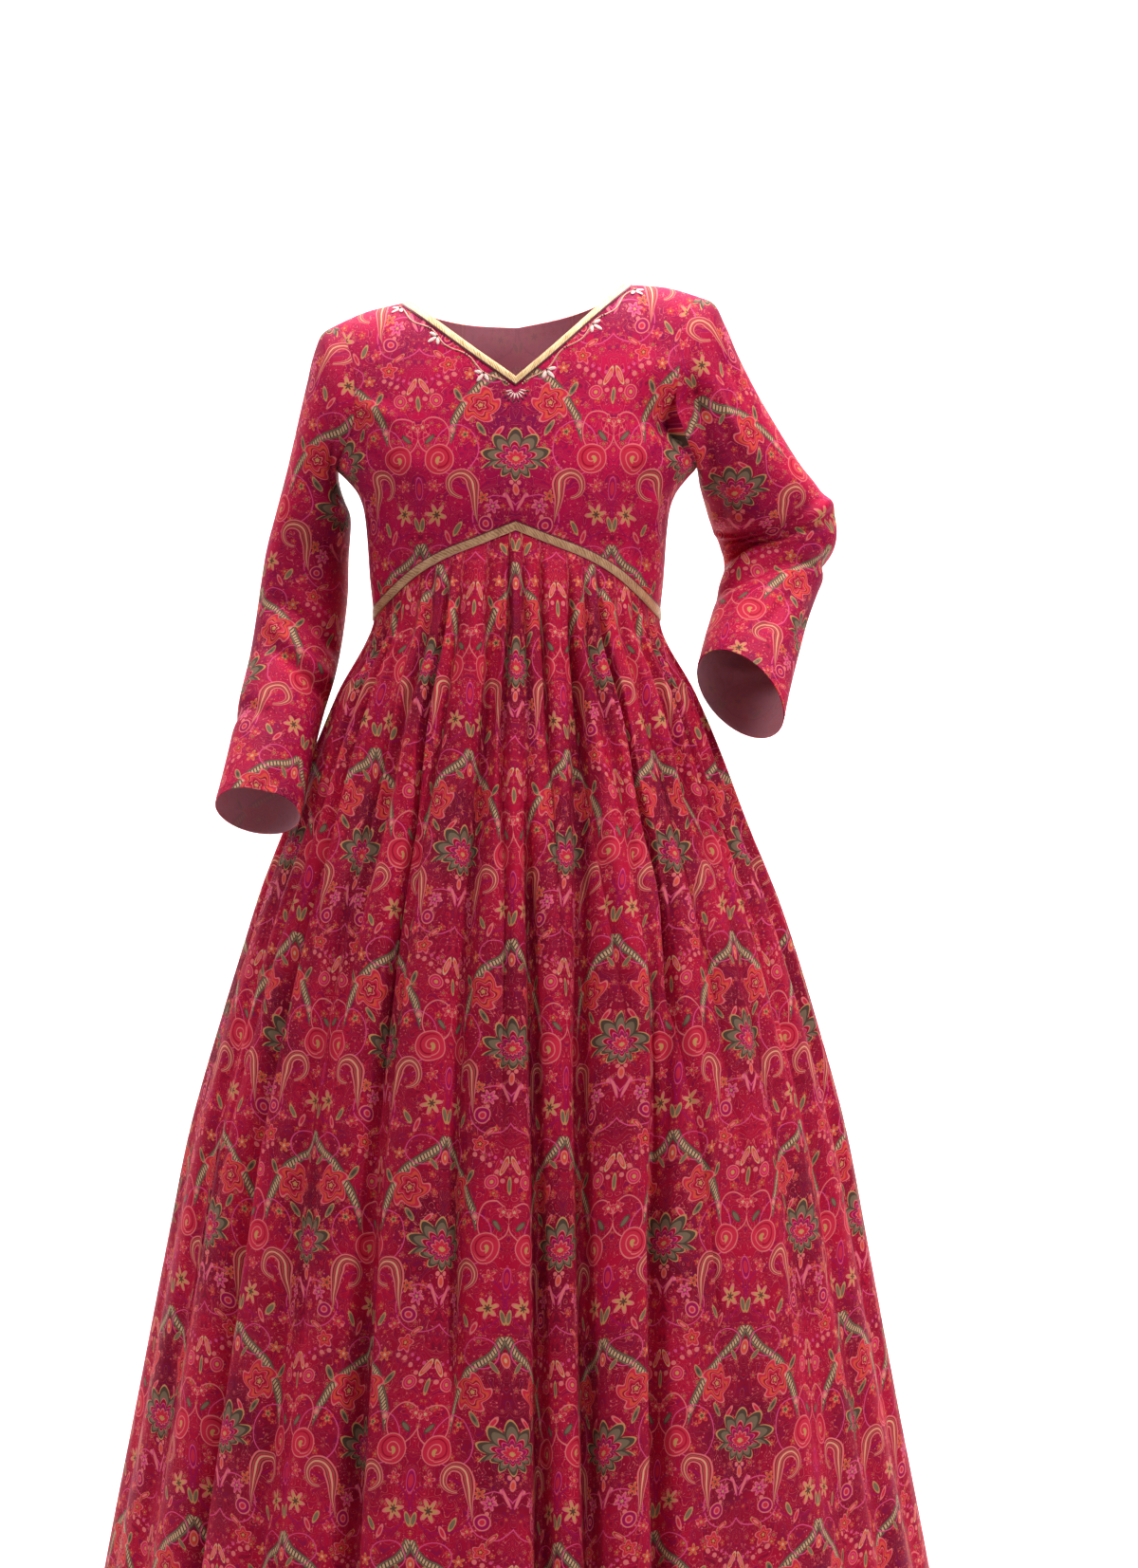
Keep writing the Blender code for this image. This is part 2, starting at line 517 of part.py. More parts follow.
def section(height, side, at):
    """A point of the skirt's smooth form: a height, front or back, and how far round from the centre (-1 to 1)."""
    wide = smooth(height, SKIRT, 1)
    deep = smooth(height, SKIRT, 2 if side == "front" else 3)
    square = 2.0 / smooth(height, SKIRT, 4)
    angle = np.linspace(0, math.pi / 2, 181)
    x = wide * np.sin(angle) ** square
    y = deep * np.cos(angle) ** square
    length = np.concatenate([[0.0], np.cumsum(np.hypot(np.diff(x), np.diff(y)))])
    want = abs(at) * length[-1]
    found = np.array([np.interp(want, length, x), np.interp(want, length, y)])
    near = np.array([np.interp(max(want - 0.002, 0), length, x), np.interp(max(want - 0.002, 0), length, y)])
    far = np.array(
        [np.interp(min(want + 0.002, length[-1]), length, x), np.interp(min(want + 0.002, length[-1]), length, y)]
    )
    way = far - near
    out = np.array([-way[1], way[0]])
    if abs(at) < 1e-9:
        out = np.array([0.0, 1.0])
    if abs(at) > 1 - 1e-9:
        out = np.array([1.0, 0.0])
    out = out / np.linalg.norm(out)
    sign = np.array([1.0 if at >= 0 else -1.0, -1.0 if side == "front" else 1.0])
    return found * sign, out * sign, length[-1]


def fold_depth(at, down, length, side):
    """How far the cloth lies in from the smooth form: valleys between broad ridges."""
    total = 0.0
    for other in (side, "back" if side == "front" else "front"):
        for top, middle, hem, start, end, w_top, w_hem, d_top, d_hem in (
            FOLDS_FRONT if other == "front" else FOLDS_BACK
        ):
            where = np.interp(down, (start, (start + min(end, 1.0)) / 2, min(end, 1.0)), (top, middle, hem))
            away = at - where if other == side else (2 - abs(at)) * math.copysign(1, at) - where
            if abs(away) * length > 0.30:
                continue
            u = np.clip((down - start) / (min(end, 1.0) - start), 0, 1)
            wide = w_top + (w_hem - w_top) * u
            deep = (d_top + (d_hem - d_top) * u) * ease(down, start - 0.04, start + 0.10)
            deep *= 1 - ease(down, end - 0.14, end)
            total += deep / (1 + (away * length / wide) ** 2)
    return total


def skirt_ring(waists):
    """The whole skirt as one ring of columns, front then back, from the seam under the bodice to the hem."""
    columns = GATHERS * PER_GATHER
    grid = np.zeros((len(ROWS_DOWN), 2 * columns, 3))
    first_facing = np.zeros((2 * columns, 3))
    for panel, side in enumerate(("front", "back")):
        points, normals = waists[side]
        points = points * np.array([1, 0, 1]) + np.array([0, 1, 0]) * (
            points[:, 1:2] + (GAP / 2 if side == "front" else -GAP / 2)
        )
        length = np.concatenate([[0.0], np.cumsum(np.linalg.norm(np.diff(points, axis=0), axis=1))])
        # A column of the skirt stands under each corner of the bodice's edge
        own = np.round(length / length[-1] * columns)
        want = np.interp(np.arange(columns + 1), own, length)
        top = np.stack([np.interp(want, length, points[:, k]) for k in range(3)], axis=1)
        facing = unit(np.stack([np.interp(want, length, normals[:, k]) for k in range(3)], axis=1))
        tangent = unit(np.gradient(top, axis=0))
        below = np.cross(tangent, facing)
        below *= np.sign(-below[:, 2:3])
        below[[0, -1], 1] = 0.0
        top = top + unit(below) * GAP * CORNER
        ats = np.linspace(-1, 1, columns + 1)
        for k in range(columns):
            j = k if side == "front" else columns - k  # the back runs from the left side round to the right
            at = ats[j]
            column = k + panel * columns
            base = section(top[j, 2], side, at)[0]
            first_facing[column] = facing[j]
            for i, down in enumerate(ROWS_DOWN):
                z = top[j, 2] + (HEM - top[j, 2]) * down
                place, out, long = section(z, side, at)
                place = place + (top[j, :2] - base) * math.exp(-down / 0.05)
                wave = math.cos(2 * math.pi * j / PER_GATHER) * smooth(down, GATHER_DEPTH)
                wave *= 1 + 0.30 * math.sin(1.9 * (j // PER_GATHER) + panel)
                push = wave - (fold_depth(at, down, long, side) if i else 0.0)
                grid[i, column] = (*(place + out * push), z)
            grid[0, column] = top[j]
    normals = tube_normals(grid)
    normals[0] = first_facing
    return grid, normals


def skirt_panel(name, grid, normals, side):
    columns = GATHERS * PER_GATHER
    pick = np.arange(columns + 1) + (0 if side == "front" else columns)
    pick %= 2 * columns
    points = grid[:, pick] + np.array([0, -GAP / 2 if side == "front" else GAP / 2, 0])
    facing = normals[:, pick].reshape(-1, 3)
    points = points.reshape(-1, 3)
    index = np.arange(len(points)).reshape(len(ROWS_DOWN), columns + 1)
    return cloth(name, "printed_cloth", points, facing, strips(points, index, facing), CLOTH)


# ---------------------------------------------------------------- the gown

for old in list(bpy.data.objects):
    bpy.data.objects.remove(old)
gown = bpy.data.collections.new(NAME)
bpy.context.scene.collection.children.link(gown)

bodices = {side: Bodice(side) for side in ("front", "back")}
for side, panel in bodices.items():
    cloth("bodice_" + side, "printed_cloth", panel.points, panel.normals, panel.faces(), CLOTH)

for name, left in (("sleeve_left", True), ("sleeve_right", False)):
    ends = [panel.armhole(panel.left_index if left else panel.right_index) for panel in bodices.values()]
    sleeve(name, ends[0], ends[1], left)

ring, ring_normals = skirt_ring({side: panel.waist() for side, panel in bodices.items()})
skirt_panel("skirt_front", ring, ring_normals, "front")
skirt_panel("skirt_back", ring, ring_normals, "back")

# Braids: strips of a panel's own points, moved out. They meet at the neck's point with a clear space.
front, back = bodices["front"], bodices["back"]
for name, index in (("neck_braid_left", front.left_index), ("neck_braid_right", front.right_index)):
    points = front.points.copy()
    middle = index[front.split - 1 : front.split + 1, 0]
    points[middle, 0] += GAP / 2 * (1 if name.endswith("left") else -1)
    grid = index[front.split :, :2]
    faces = strips(points, grid, front.normals)
    corner = np.array([[index[front.split - 1, 0], index[front.split, 1], index[front.split, 0]]])
    flat = np.cross(*(points[corner[0, 1:]] - points[corner[0, 0]]))
    if flat @ front.normals[corner[0, 0]] < 0:
        corner = corner[:, ::-1]
    cloth(name, "gold_braid", points, front.normals, np.concatenate([faces, corner]), BRAID, BRAID_GAP + BRAID)

collar = np.concatenate([back.right_index[: back.split - 1 : -1, :2], back.left_index[back.split :, :2]])
halves = [strips(back.points, index[back.split :, :2], back.normals) for index in (back.left_index, back.right_index)]
low = back.split - 1
corners = np.array(
    [
        [back.left_index[low, 0], back.left_index[back.split, 1], back.left_index[back.split, 0]],
        [back.right_index[low, 0], back.right_index[back.split, 0], back.right_index[back.split, 1]],
    ]
)
flat = np.cross(*(back.points[corners[0, 1:]] - back.points[corners[0, 0]]))
if flat @ back.normals[corners[0, 0]] < 0:
    corners = corners[:, ::-1]
cloth("neck_braid_back", "gold_braid", back.points, back.normals, np.concatenate([*halves, corners]), BRAID, BRAID_GAP + BRAID)

waist = np.concatenate([strips(front.points, g[:2], front.normals) for g in (front.left_index, front.right_index)])
cloth("waist_braid", "gold_braid", front.points, front.normals, waist, BRAID, BRAID_GAP + BRAID)
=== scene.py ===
# %% [markdown]
# # An anarkali gown, dressed
#
# An anarkali is a long gown: a fitted bodice with a V neck, a seam under the bust, and a very full skirt that is
# gathered into that seam. This one has long sleeves, a small print of lotus and roses all over, and gold braid
# round the neck and over the front of the seam. It is shown worn, as a hollow form with nobody in it.
#
# The solids of the gown are loaded as a fixed frame. Every piece made here is a thin shell of cloth on the form
# of its own solid, so each one repeats the sizes of its pattern and then adds what a solid leaves out: the small
# creases, the uneven gathers, the weave and the print. The frame's axes are metres, +Z up, with the front of
# the gown towards -Y and the wearer's left at +X. The origin is the middle of the shoulder line.

# %% Load the frame
import math

import bpy
import numpy as np
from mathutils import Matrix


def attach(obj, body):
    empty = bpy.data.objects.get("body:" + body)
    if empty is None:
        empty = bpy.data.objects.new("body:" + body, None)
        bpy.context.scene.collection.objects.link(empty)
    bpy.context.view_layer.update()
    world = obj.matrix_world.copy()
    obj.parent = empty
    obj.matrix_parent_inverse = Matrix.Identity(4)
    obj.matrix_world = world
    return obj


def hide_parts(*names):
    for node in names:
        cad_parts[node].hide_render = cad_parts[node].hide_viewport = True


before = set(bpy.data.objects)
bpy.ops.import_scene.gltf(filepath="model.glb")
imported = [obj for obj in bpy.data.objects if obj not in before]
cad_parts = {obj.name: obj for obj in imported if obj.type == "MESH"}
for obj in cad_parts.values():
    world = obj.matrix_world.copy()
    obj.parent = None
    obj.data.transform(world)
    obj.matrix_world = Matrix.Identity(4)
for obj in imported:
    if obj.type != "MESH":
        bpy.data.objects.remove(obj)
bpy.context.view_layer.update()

# %% [markdown]
# ## Curves from short tables
#
# A dress form is measured at a few heights, and the cloth runs smoothly between them. A cubic through each
# table's rows does that. Its slopes are the harmonic mean of the slopes on both sides, so the curve never
# swings past a row, which would show as a dent in the cloth.

# %% Curve helpers
def smooth(at, table, column=1):
    """A smooth curve through a table's rows, with no overshoot between them."""
    rows = table if table[0][0] < table[-1][0] else table[::-1]
    xs = np.array([row[0] for row in rows])
    ys = np.array([row[column] for row in rows])
    step = np.diff(xs)
    slope = np.diff(ys) / step
    tangent = np.zeros(len(xs))
    tangent[0], tangent[-1] = slope[0], slope[-1]
    same = slope[:-1] * slope[1:] > 0
    inner = np.zeros(len(xs) - 2)
    inner[same] = 2 * (slope[:-1] * slope[1:])[same] / (slope[:-1] + slope[1:])[same]
    tangent[1:-1] = inner
    at = np.clip(at, xs[0], xs[-1])
    low = np.clip(np.searchsorted(xs, at, side="right") - 1, 0, len(step) - 1)
    u = (at - xs[low]) / step[low]
    return (
        ys[low] * (2 * u**3 - 3 * u**2 + 1)
        + tangent[low] * step[low] * (u**3 - 2 * u**2 + u)
        + ys[low + 1] * (3 * u**2 - 2 * u**3)
        + tangent[low + 1] * step[low] * (u**3 - u**2)
    )


def ease(at, start, end):
    """0 before start, 1 after end, and an even curve between."""
    u = np.clip((at - start) / (end - start), 0.0, 1.0)
    return u * u * (3 - 2 * u)


def unit(vectors):
    """The same directions, each one long."""
    return vectors / np.maximum(np.linalg.norm(vectors, axis=-1, keepdims=True), 1e-12)


def run_length(points, axis=0):
    """How far each point lies along its line, from the line's start."""
    steps = np.linalg.norm(np.diff(points, axis=axis), axis=-1)
    start = np.zeros_like(np.take(steps, [0], axis=axis))
    return np.concatenate([start, np.cumsum(steps, axis=axis)], axis=axis)


def evenly(points, count):
    """Points evenly spaced along a line of points, by its length."""
    length = run_length(points)
    want = np.linspace(0.0, length[-1], count)
    return np.stack([np.interp(want, length, points[:, k]) for k in range(points.shape[1])], axis=1)


# %% [markdown]
# ## A shell of cloth
#
# Cloth has two sides. Each piece is a grid of points on its right side, the same points moved in by the
# thickness of the cloth, and a rim that closes the edge between them. That gives the cloth a real edge at the
# neck, the cuffs and the hem, and its wrong side can have a finish of its own. Solidify could add the wall too,
# but here the wall must follow facings that are worked out along the seams, so it is made with the mesh.
#
# The UV map is in metres of cloth. The print and the weave then keep their true size on every panel.

# %% The shell
CLOTH = 0.0011  # thickness of the printed cotton silk


def quads(index):
    """The four-sided faces of a grid of point numbers."""
    a, b, c, d = index[:-1, :-1], index[:-1, 1:], index[1:, 1:], index[1:, :-1]
    return np.stack([a.ravel(), b.ravel(), c.ravel(), d.ravel()], axis=1)


def shell(name, points, facings, faces, cloth_at, cloth_faces=None, wall=CLOTH):
    """A closed piece of cloth: the faces, the same faces moved in by the wall, and the rim. cloth_at holds where
    each point lies on the flat cloth, in metres."""
    cloth_faces = faces if cloth_faces is None else cloth_faces
    flat = np.cross(points[faces[:, 2]] - points[faces[:, 0]], points[faces[:, 3]] - points[faces[:, 1]])
    if (flat * facings[faces].sum(axis=1)).sum() < 0:
        faces, cloth_faces = faces[:, ::-1], cloth_faces[:, ::-1]
    used, renumbered = np.unique(faces, return_inverse=True)
    faces = renumbered.reshape(-1, 4)
    count = len(used)
    outside = points[used]
    inside = outside - facings[used] * wall
    tail = np.concatenate([faces[:, k] for k in range(4)])
    head = np.concatenate([faces[:, (k + 1) % 4] for k in range(4)])
    cloth_tail = np.concatenate([cloth_faces[:, k] for k in range(4)])
    cloth_head = np.concatenate([cloth_faces[:, (k + 1) % 4] for k in range(4)])
    open_edge = ~np.isin(tail * count + head, head * count + tail)
    tail, head, cloth_tail, cloth_head = (k[open_edge] for k in (tail, head, cloth_tail, cloth_head))
    rim = np.stack([head, tail, tail + count, head + count], axis=1)
    rim_cloth = np.stack([cloth_head, cloth_tail, cloth_tail, cloth_head], axis=1)
    every = np.concatenate([faces, faces[:, ::-1] + count, rim])
    every_cloth = np.concatenate([cloth_faces, cloth_faces[:, ::-1], rim_cloth])
    mesh = bpy.data.meshes.new(name + "_cloth")
    mesh.from_pydata(np.concatenate([outside, inside]).tolist(), [], every.tolist())
    layer = mesh.uv_layers.new(name="cloth")
    layer.data.foreach_set("uv", cloth_at[every_cloth.ravel()].astype(np.float32).ravel())
    side = np.zeros(len(every), np.int32)
    side[len(faces) : 2 * len(faces)] = 1
    mesh.polygons.foreach_set("material_index", side)
    mesh.polygons.foreach_set("use_smooth", np.ones(len(every), bool))
    mesh.update()
    mesh.set_sharp_from_angle(angle=math.radians(62))
    piece = bpy.data.objects.new(name + "_cloth", mesh)
    bpy.context.scene.collection.objects.link(piece)
    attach(piece, "root")
    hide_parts(name)
    print(f"{name}: {2 * len(every):,} triangles")
    return piece


# %% [markdown]
# ## Creases
#
# Cloth that is worn creases where it is pulled and where it has too much room. Each crease is one row of a
# table: where it starts and ends on the piece, how wide it is, and how far it stands out (a roll) or lies in
# (a trough). It fades towards both ends, as a real one does. A brush would give the same marks, but a row can
# be read, moved and made deeper.

# %% Crease helper
def creased(across, down, table):
    """How far out the cloth lies, from rows of across, down, to_across, to_down, width, height."""
    total = np.zeros(np.broadcast(across, down).shape)
    for x0, z0, x1, z1, width, height in table:
        way = np.array([x1 - x0, z1 - z0])
        length = float(np.hypot(*way))
        way = way / length
        at = ((across - x0) * way[0] + (down - z0) * way[1]) / length
        off = (across - x0) * way[1] - (down - z0) * way[0]
        # A slight bow keeps a row of creases from looking ruled
        off = off + 0.06 * length * np.sin(np.pi * np.clip(at, 0, 1)) * (1 if height > 0 else -1)
        fade = ease(at, -0.05, 0.35) * (1 - ease(at, 0.60, 1.08))
        total += height * fade * np.exp(-((off / width) ** 2))
    return total


# %% [markdown]
# ## The bodice
#
# A bodice is cut as a front and a back, shaped by darts, and sewn at the sides and shoulders. On a dress form it
# follows one smooth section: nearly a rounded rectangle from above, deepest at the bust, closing over to the
# shoulder line at the top. So a point needs only its place across and its height, and the form gives its depth.
# The left shoulder is carried a little higher, as on anyone who stands with one arm bent.

# %% Sizes of the bodice
SHOULDER_RISE = 0.08
RISE_FROM, RISE_FULL = -0.22, -0.04
SHOULDER = ((0.0, 0.033), (0.115, 0.0), (0.155, -0.0065), (0.190, -0.0185), (0.230, -0.036))  # x, height
NECK_POINT = (0.115, 0.0)
TIP = (0.190, -0.0185)
ARMPIT = (0.190, -0.185)
ROUND_FROM = -0.16
SQUARE_ACROSS, SQUARE_OVER = 2.3, 2.2
TORSO = (  # height, half_width, front, back
    (-0.3500, 0.1510, 0.0960, 0.0880),
    (-0.3460, 0.1510, 0.0970, 0.0880),
    (-0.3000, 0.1550, 0.1070, 0.0920),
    (-0.2560, 0.1580, 0.1150, 0.0960),
    (-0.2310, 0.1610, 0.1200, 0.0990),
    (-0.2130, 0.1670, 0.1215, 0.1010),
    (-0.1960, 0.1800, 0.1205, 0.1020),
    (-0.1850, 0.1900, 0.1185, 0.1030),
    (-0.1680, 0.1935, 0.1150, 0.1040),
    (-0.1400, 0.1990, 0.1090, 0.1040),
    (-0.1000, 0.2080, 0.1010, 0.1000),
    (-0.0500, 0.2150, 0.0950, 0.0920),
    (0.0400, 0.2200, 0.0900, 0.0860),
)
WAIST = {  # x, height
    "front": ((0.0, -0.2560), (0.033, -0.2690), (0.073, -0.2845), (0.101, -0.3005), (0.125, -0.3205),
              (0.151, -0.3460)),
    "back": ((0.0, -0.3430), (0.080, -0.3440), (0.151, -0.3460)),
}
NECK = {
    "front": ((0.0, -0.0960), (0.040, -0.0640), (0.080, -0.0300), (0.115, 0.0)),
    "back": ((0.0, -0.0300), (0.045, -0.0250), (0.090, -0.0140), (0.115, 0.0)),
}
ARMHOLE = {
    "front": ((0.190, -0.185), (0.184, -0.174), (0.175, -0.154), (0.168, -0.118), (0.170, -0.070),
              (0.180, -0.036), (0.190, -0.0185)),
    "back": ((0.190, -0.185), (0.187, -0.174), (0.180, -0.154), (0.174, -0.118), (0.175, -0.070),
             (0.182, -0.036), (0.190, -0.0185)),
}
SEAM = 0.0002  # clear space left at a seam
LOTUS_AT = -0.178  # height of the lotus on the bodice


# %% The form of the bodice
def stand_out(x, z, side):
    """How far the bodice's front or back stands out from the plane of the side seams."""
    wide = smooth(z, TORSO, 1)
    deep = smooth(z, TORSO, 2 if side == "front" else 3)
    across = (1 - np.clip(np.abs(x) / wide, 0, 1) ** SQUARE_ACROSS) ** (1 / SQUARE_ACROSS)
    over = np.clip((z - ROUND_FROM) / (smooth(np.abs(x), SHOULDER) - ROUND_FROM), 0, 1)
    return deep * across * (1 - over**SQUARE_OVER) ** (1 / SQUARE_OVER)


def on_bodice(x, z, side, seam=None):
    """The bodice's points at x and z, and which way each faces."""
    facing = -1.0 if side == "front" else 1.0
    h = 1e-4
    across = (stand_out(x + h, z, side) - stand_out(x - h, z, side)) / (2 * h)
    up = (stand_out(x, z + h, side) - stand_out(x, z - h, side)) / (2 * h)
    points = np.stack([x, facing * stand_out(x, z, side), z], axis=-1)
    normals = np.stack([-across, np.full_like(x, facing), -up], axis=-1)
    if seam is not None:
        normals[seam, 1] = 0.0
        points[seam, 1] = 0.0
    normals = unit(normals)
    lean = ease(z, RISE_FROM, RISE_FULL)
    change = (ease(z + h, RISE_FROM, RISE_FULL) - ease(z - h, RISE_FROM, RISE_FULL)) / (2 * h)
    stretch = 1 + SHOULDER_RISE * x * change
    tilted = normals.copy()
    tilted[..., 0] -= SHOULDER_RISE * lean / stretch * normals[..., 2]
    tilted[..., 2] /= stretch
    points[..., 2] += SHOULDER_RISE * x * lean
    return points, unit(tilted)


def edge(table, side, count):
    """A panel's edge given by a table of x and height, as points evenly spaced over the body."""
    given = np.array(table)
    length = run_length(given)
    at = np.linspace(0, length[-1], 240)
    x = smooth(at, list(zip(length, given[:, 0])))
    z = smooth(at, list(zip(length, given[:, 1])))
    points = np.stack([x, stand_out(x, z, side), z], axis=1)
    return evenly(points, count)[:, [0, 2]]


def across_body(x, z, side):
    """How far a point lies from the centre line, measured over the body."""
    share = np.linspace(0, 1, 33)
    xs = x[..., None] * share
    ys = stand_out(xs, z[..., None], side)
    return np.sign(x) * np.hypot(np.diff(xs, axis=-1), np.diff(ys, axis=-1)).sum(axis=-1)


# %% [markdown]
# Each half of a panel is one patch of cloth with four sides: the centre line and the neck edge, the seam under
# the bust, the side seam and the armhole, and the shoulder seam. Blending those four lines (a Coons patch) lets
# the rows of the mesh run with the cut, so all edges are clean lines of points that the next piece can be sewn
# to.

# %% Panels of the bodice
SIDE_ROWS, ARM_ROWS, ACROSS = 42, 48, 56
CENTRE_ROWS = {"front": 44, "back": 64}
BODICE_CREASES = {  # across, down, to_across, to_down, width, height
    "front": (
        # The hollow in front of the bent arm, under a roll from the shoulder
        (0.105, -0.096, 0.235, -0.108, 0.0140, 0.0030),
        (0.112, -0.138, 0.270, -0.138, 0.0210, -0.0180),
        (0.176, -0.110, 0.168, -0.215, 0.0150, -0.0040),
        (0.168, -0.168, 0.120, -0.215, 0.0090, -0.0036),
        (0.158, -0.190, 0.118, -0.250, 0.0080, 0.0032),
        # Drag lines down to the side seam
        (0.132, -0.200, 0.145, -0.285, 0.0050, 0.0036),
        (0.118, -0.205, 0.134, -0.300, 0.0080, -0.0036),
        (0.154, -0.215, 0.090, -0.262, 0.0070, 0.0026),
        (0.146, -0.300, 0.085, -0.262, 0.0060, -0.0026),
        # The right side, where the arm hangs
        (-0.176, -0.135, -0.120, -0.205, 0.0090, -0.0050),
        (-0.168, -0.112, -0.112, -0.150, 0.0090, 0.0036),
        (-0.158, -0.190, -0.112, -0.245, 0.0080, -0.0032),
        (-0.148, -0.300, -0.090, -0.262, 0.0060, -0.0026),
        # Under the bust
        (0.060, -0.245, 0.035, -0.150, 0.0140, -0.0018),
        (-0.058, -0.245, -0.030, -0.160, 0.0140, -0.0018),
        (0.090, -0.262, 0.075, -0.190, 0.0070, 0.0018),
        (-0.100, -0.266, -0.080, -0.200, 0.0070, 0.0018),
    ),
    "back": (
        (0.165, -0.140, 0.080, -0.200, 0.0090, -0.0045),
        (-0.165, -0.140, -0.085, -0.195, 0.0090, -0.0045),
        (0.160, -0.120, 0.090, -0.160, 0.0090, 0.0030),
        (-0.160, -0.120, -0.095, -0.155, 0.0090, 0.0030),
        (0.150, -0.300, 0.060, -0.262, 0.0080, -0.0040),
        (-0.150, -0.300, -0.055, -0.270, 0.0080, -0.0040),
        (0.148, -0.322, 0.070, -0.300, 0.0070, 0.0030),
        (-0.148, -0.326, -0.080, -0.304, 0.0070, 0.0028),
        (0.090, -0.060, 0.020, -0.090, 0.0110, -0.0026),
        (-0.090, -0.060, -0.030, -0.086, 0.0110, -0.0026),
    ),
}


def half_panel(side):
    """Half a panel as rows of x and height, from the seam under the bust up, each from the centre outwards."""
    rows = SIDE_ROWS + ARM_ROWS
    centre_rows = CENTRE_ROWS[side]
    bottom = edge(WAIST[side], side, ACROSS + 1)
    heights = np.linspace(bottom[0, 1], NECK[side][0][1], centre_rows + 1)
    centre = np.stack([np.zeros(centre_rows + 1), heights], axis=1)
    inner = np.concatenate([centre, edge(NECK[side], side, rows - centre_rows + 1)[1:]])
    side_z = np.linspace(bottom[-1, 1], ARMPIT[1], SIDE_ROWS + 1)
    side_seam = np.stack([smooth(side_z, TORSO, 1), side_z], axis=1)
    outer = np.concatenate([side_seam, edge(ARMHOLE[side], side, ARM_ROWS + 1)[1:]])
    outer[-1] = TIP
    wide = bottom[:, 0] / bottom[-1, 0]
    top_x = NECK_POINT[0] + wide * (TIP[0] - NECK_POINT[0])
    top = np.stack([top_x, smooth(top_x, SHOULDER)], axis=1)
    v = sum(run_length(e) / run_length(e)[-1] for e in (inner, outer))[:, None, None] / 2
    w = wide[None, :, None]
    patch = (
        (1 - v) * bottom[None] + v * top[None] + (1 - w) * inner[:, None] + w * outer[:, None]
        - (1 - v) * (1 - w) * bottom[0] - (1 - v) * w * bottom[-1] - v * (1 - w) * top[0] - v * w * top[-1]
    )
    patch[:, 0], patch[:, -1], patch[0], patch[-1] = inner, outer, bottom, top
    return patch


def bodice_panel(side):
    """Both halves of a panel: its points, facings, place on the cloth, and the point numbers of each half."""
    half = half_panel(side)
    rows, columns = half.shape[:2]
    on_seam = np.zeros((rows, columns), bool)
    on_seam[: SIDE_ROWS + 1, -1] = True
    on_seam[-1, :] = True
    inset = np.minimum(np.linspace(0, 1, rows) * (1 - np.linspace(0, 1, rows)) * 30, 1)[:, None]
    # The creases fade out at the side seam and the armholes, but the bent arm's sleeve follows them in front
    fade = 1 - np.minimum((1 - np.linspace(0, 1, columns)) * 12, 1)[None, :]
    followed = ease(np.arange(rows), SIDE_ROWS + 14, SIDE_ROWS + 28)[:, None] * (side == "front")
    points, facings, cloth_at = [], [], []
    for sign in (1, -1):
        x, z = sign * half[..., 0], half[..., 1]
        place, facing = on_bodice(x, z, side, on_seam)
        kept = inset * (1 - fade * (1 - followed * (sign == 1)))
        place = place + facing * (creased(x, z, BODICE_CREASES[side]) * kept)[..., None]
        points.append(place.reshape(-1, 3))
        facings.append(facing.reshape(-1, 3))
        cloth_at.append(np.stack([across_body(x, z, side), z - LOTUS_AT], axis=-1).reshape(-1, 2))
    count = rows * columns
    left = np.arange(count).reshape(rows, columns)
    right = left + count
    right[: CENTRE_ROWS[side] + 1, 0] = left[: CENTRE_ROWS[side] + 1, 0]
    points = np.concatenate(points) + np.array([0, -SEAM / 2 if side == "front" else SEAM / 2, 0])
    return points, np.concatenate(facings), np.concatenate(cloth_at), left, right


panels = {side: bodice_panel(side) for side in ("front", "back")}
bodice = {}
for side, (points, facings, cloth_at, left, right) in panels.items():
    faces = np.concatenate([quads(left), quads(right)])
    bodice[side] = shell("bodice_" + side, points, facings, faces, cloth_at)

# %% [markdown]
# ## The sleeves
#
# A set-in sleeve is a tube whose cap is sewn round the armhole. The left arm is bent, with the hand at the
# waist, so its tube goes down to the elbow, turns forward and ends in a slanted cuff. The right one hangs. The
# tube is given as rings round the arm, each set by a few sizes, and a curve through the rings makes the fine
# ones between. Its first ring is the armhole's own line of points, so the two pieces meet along the seam.

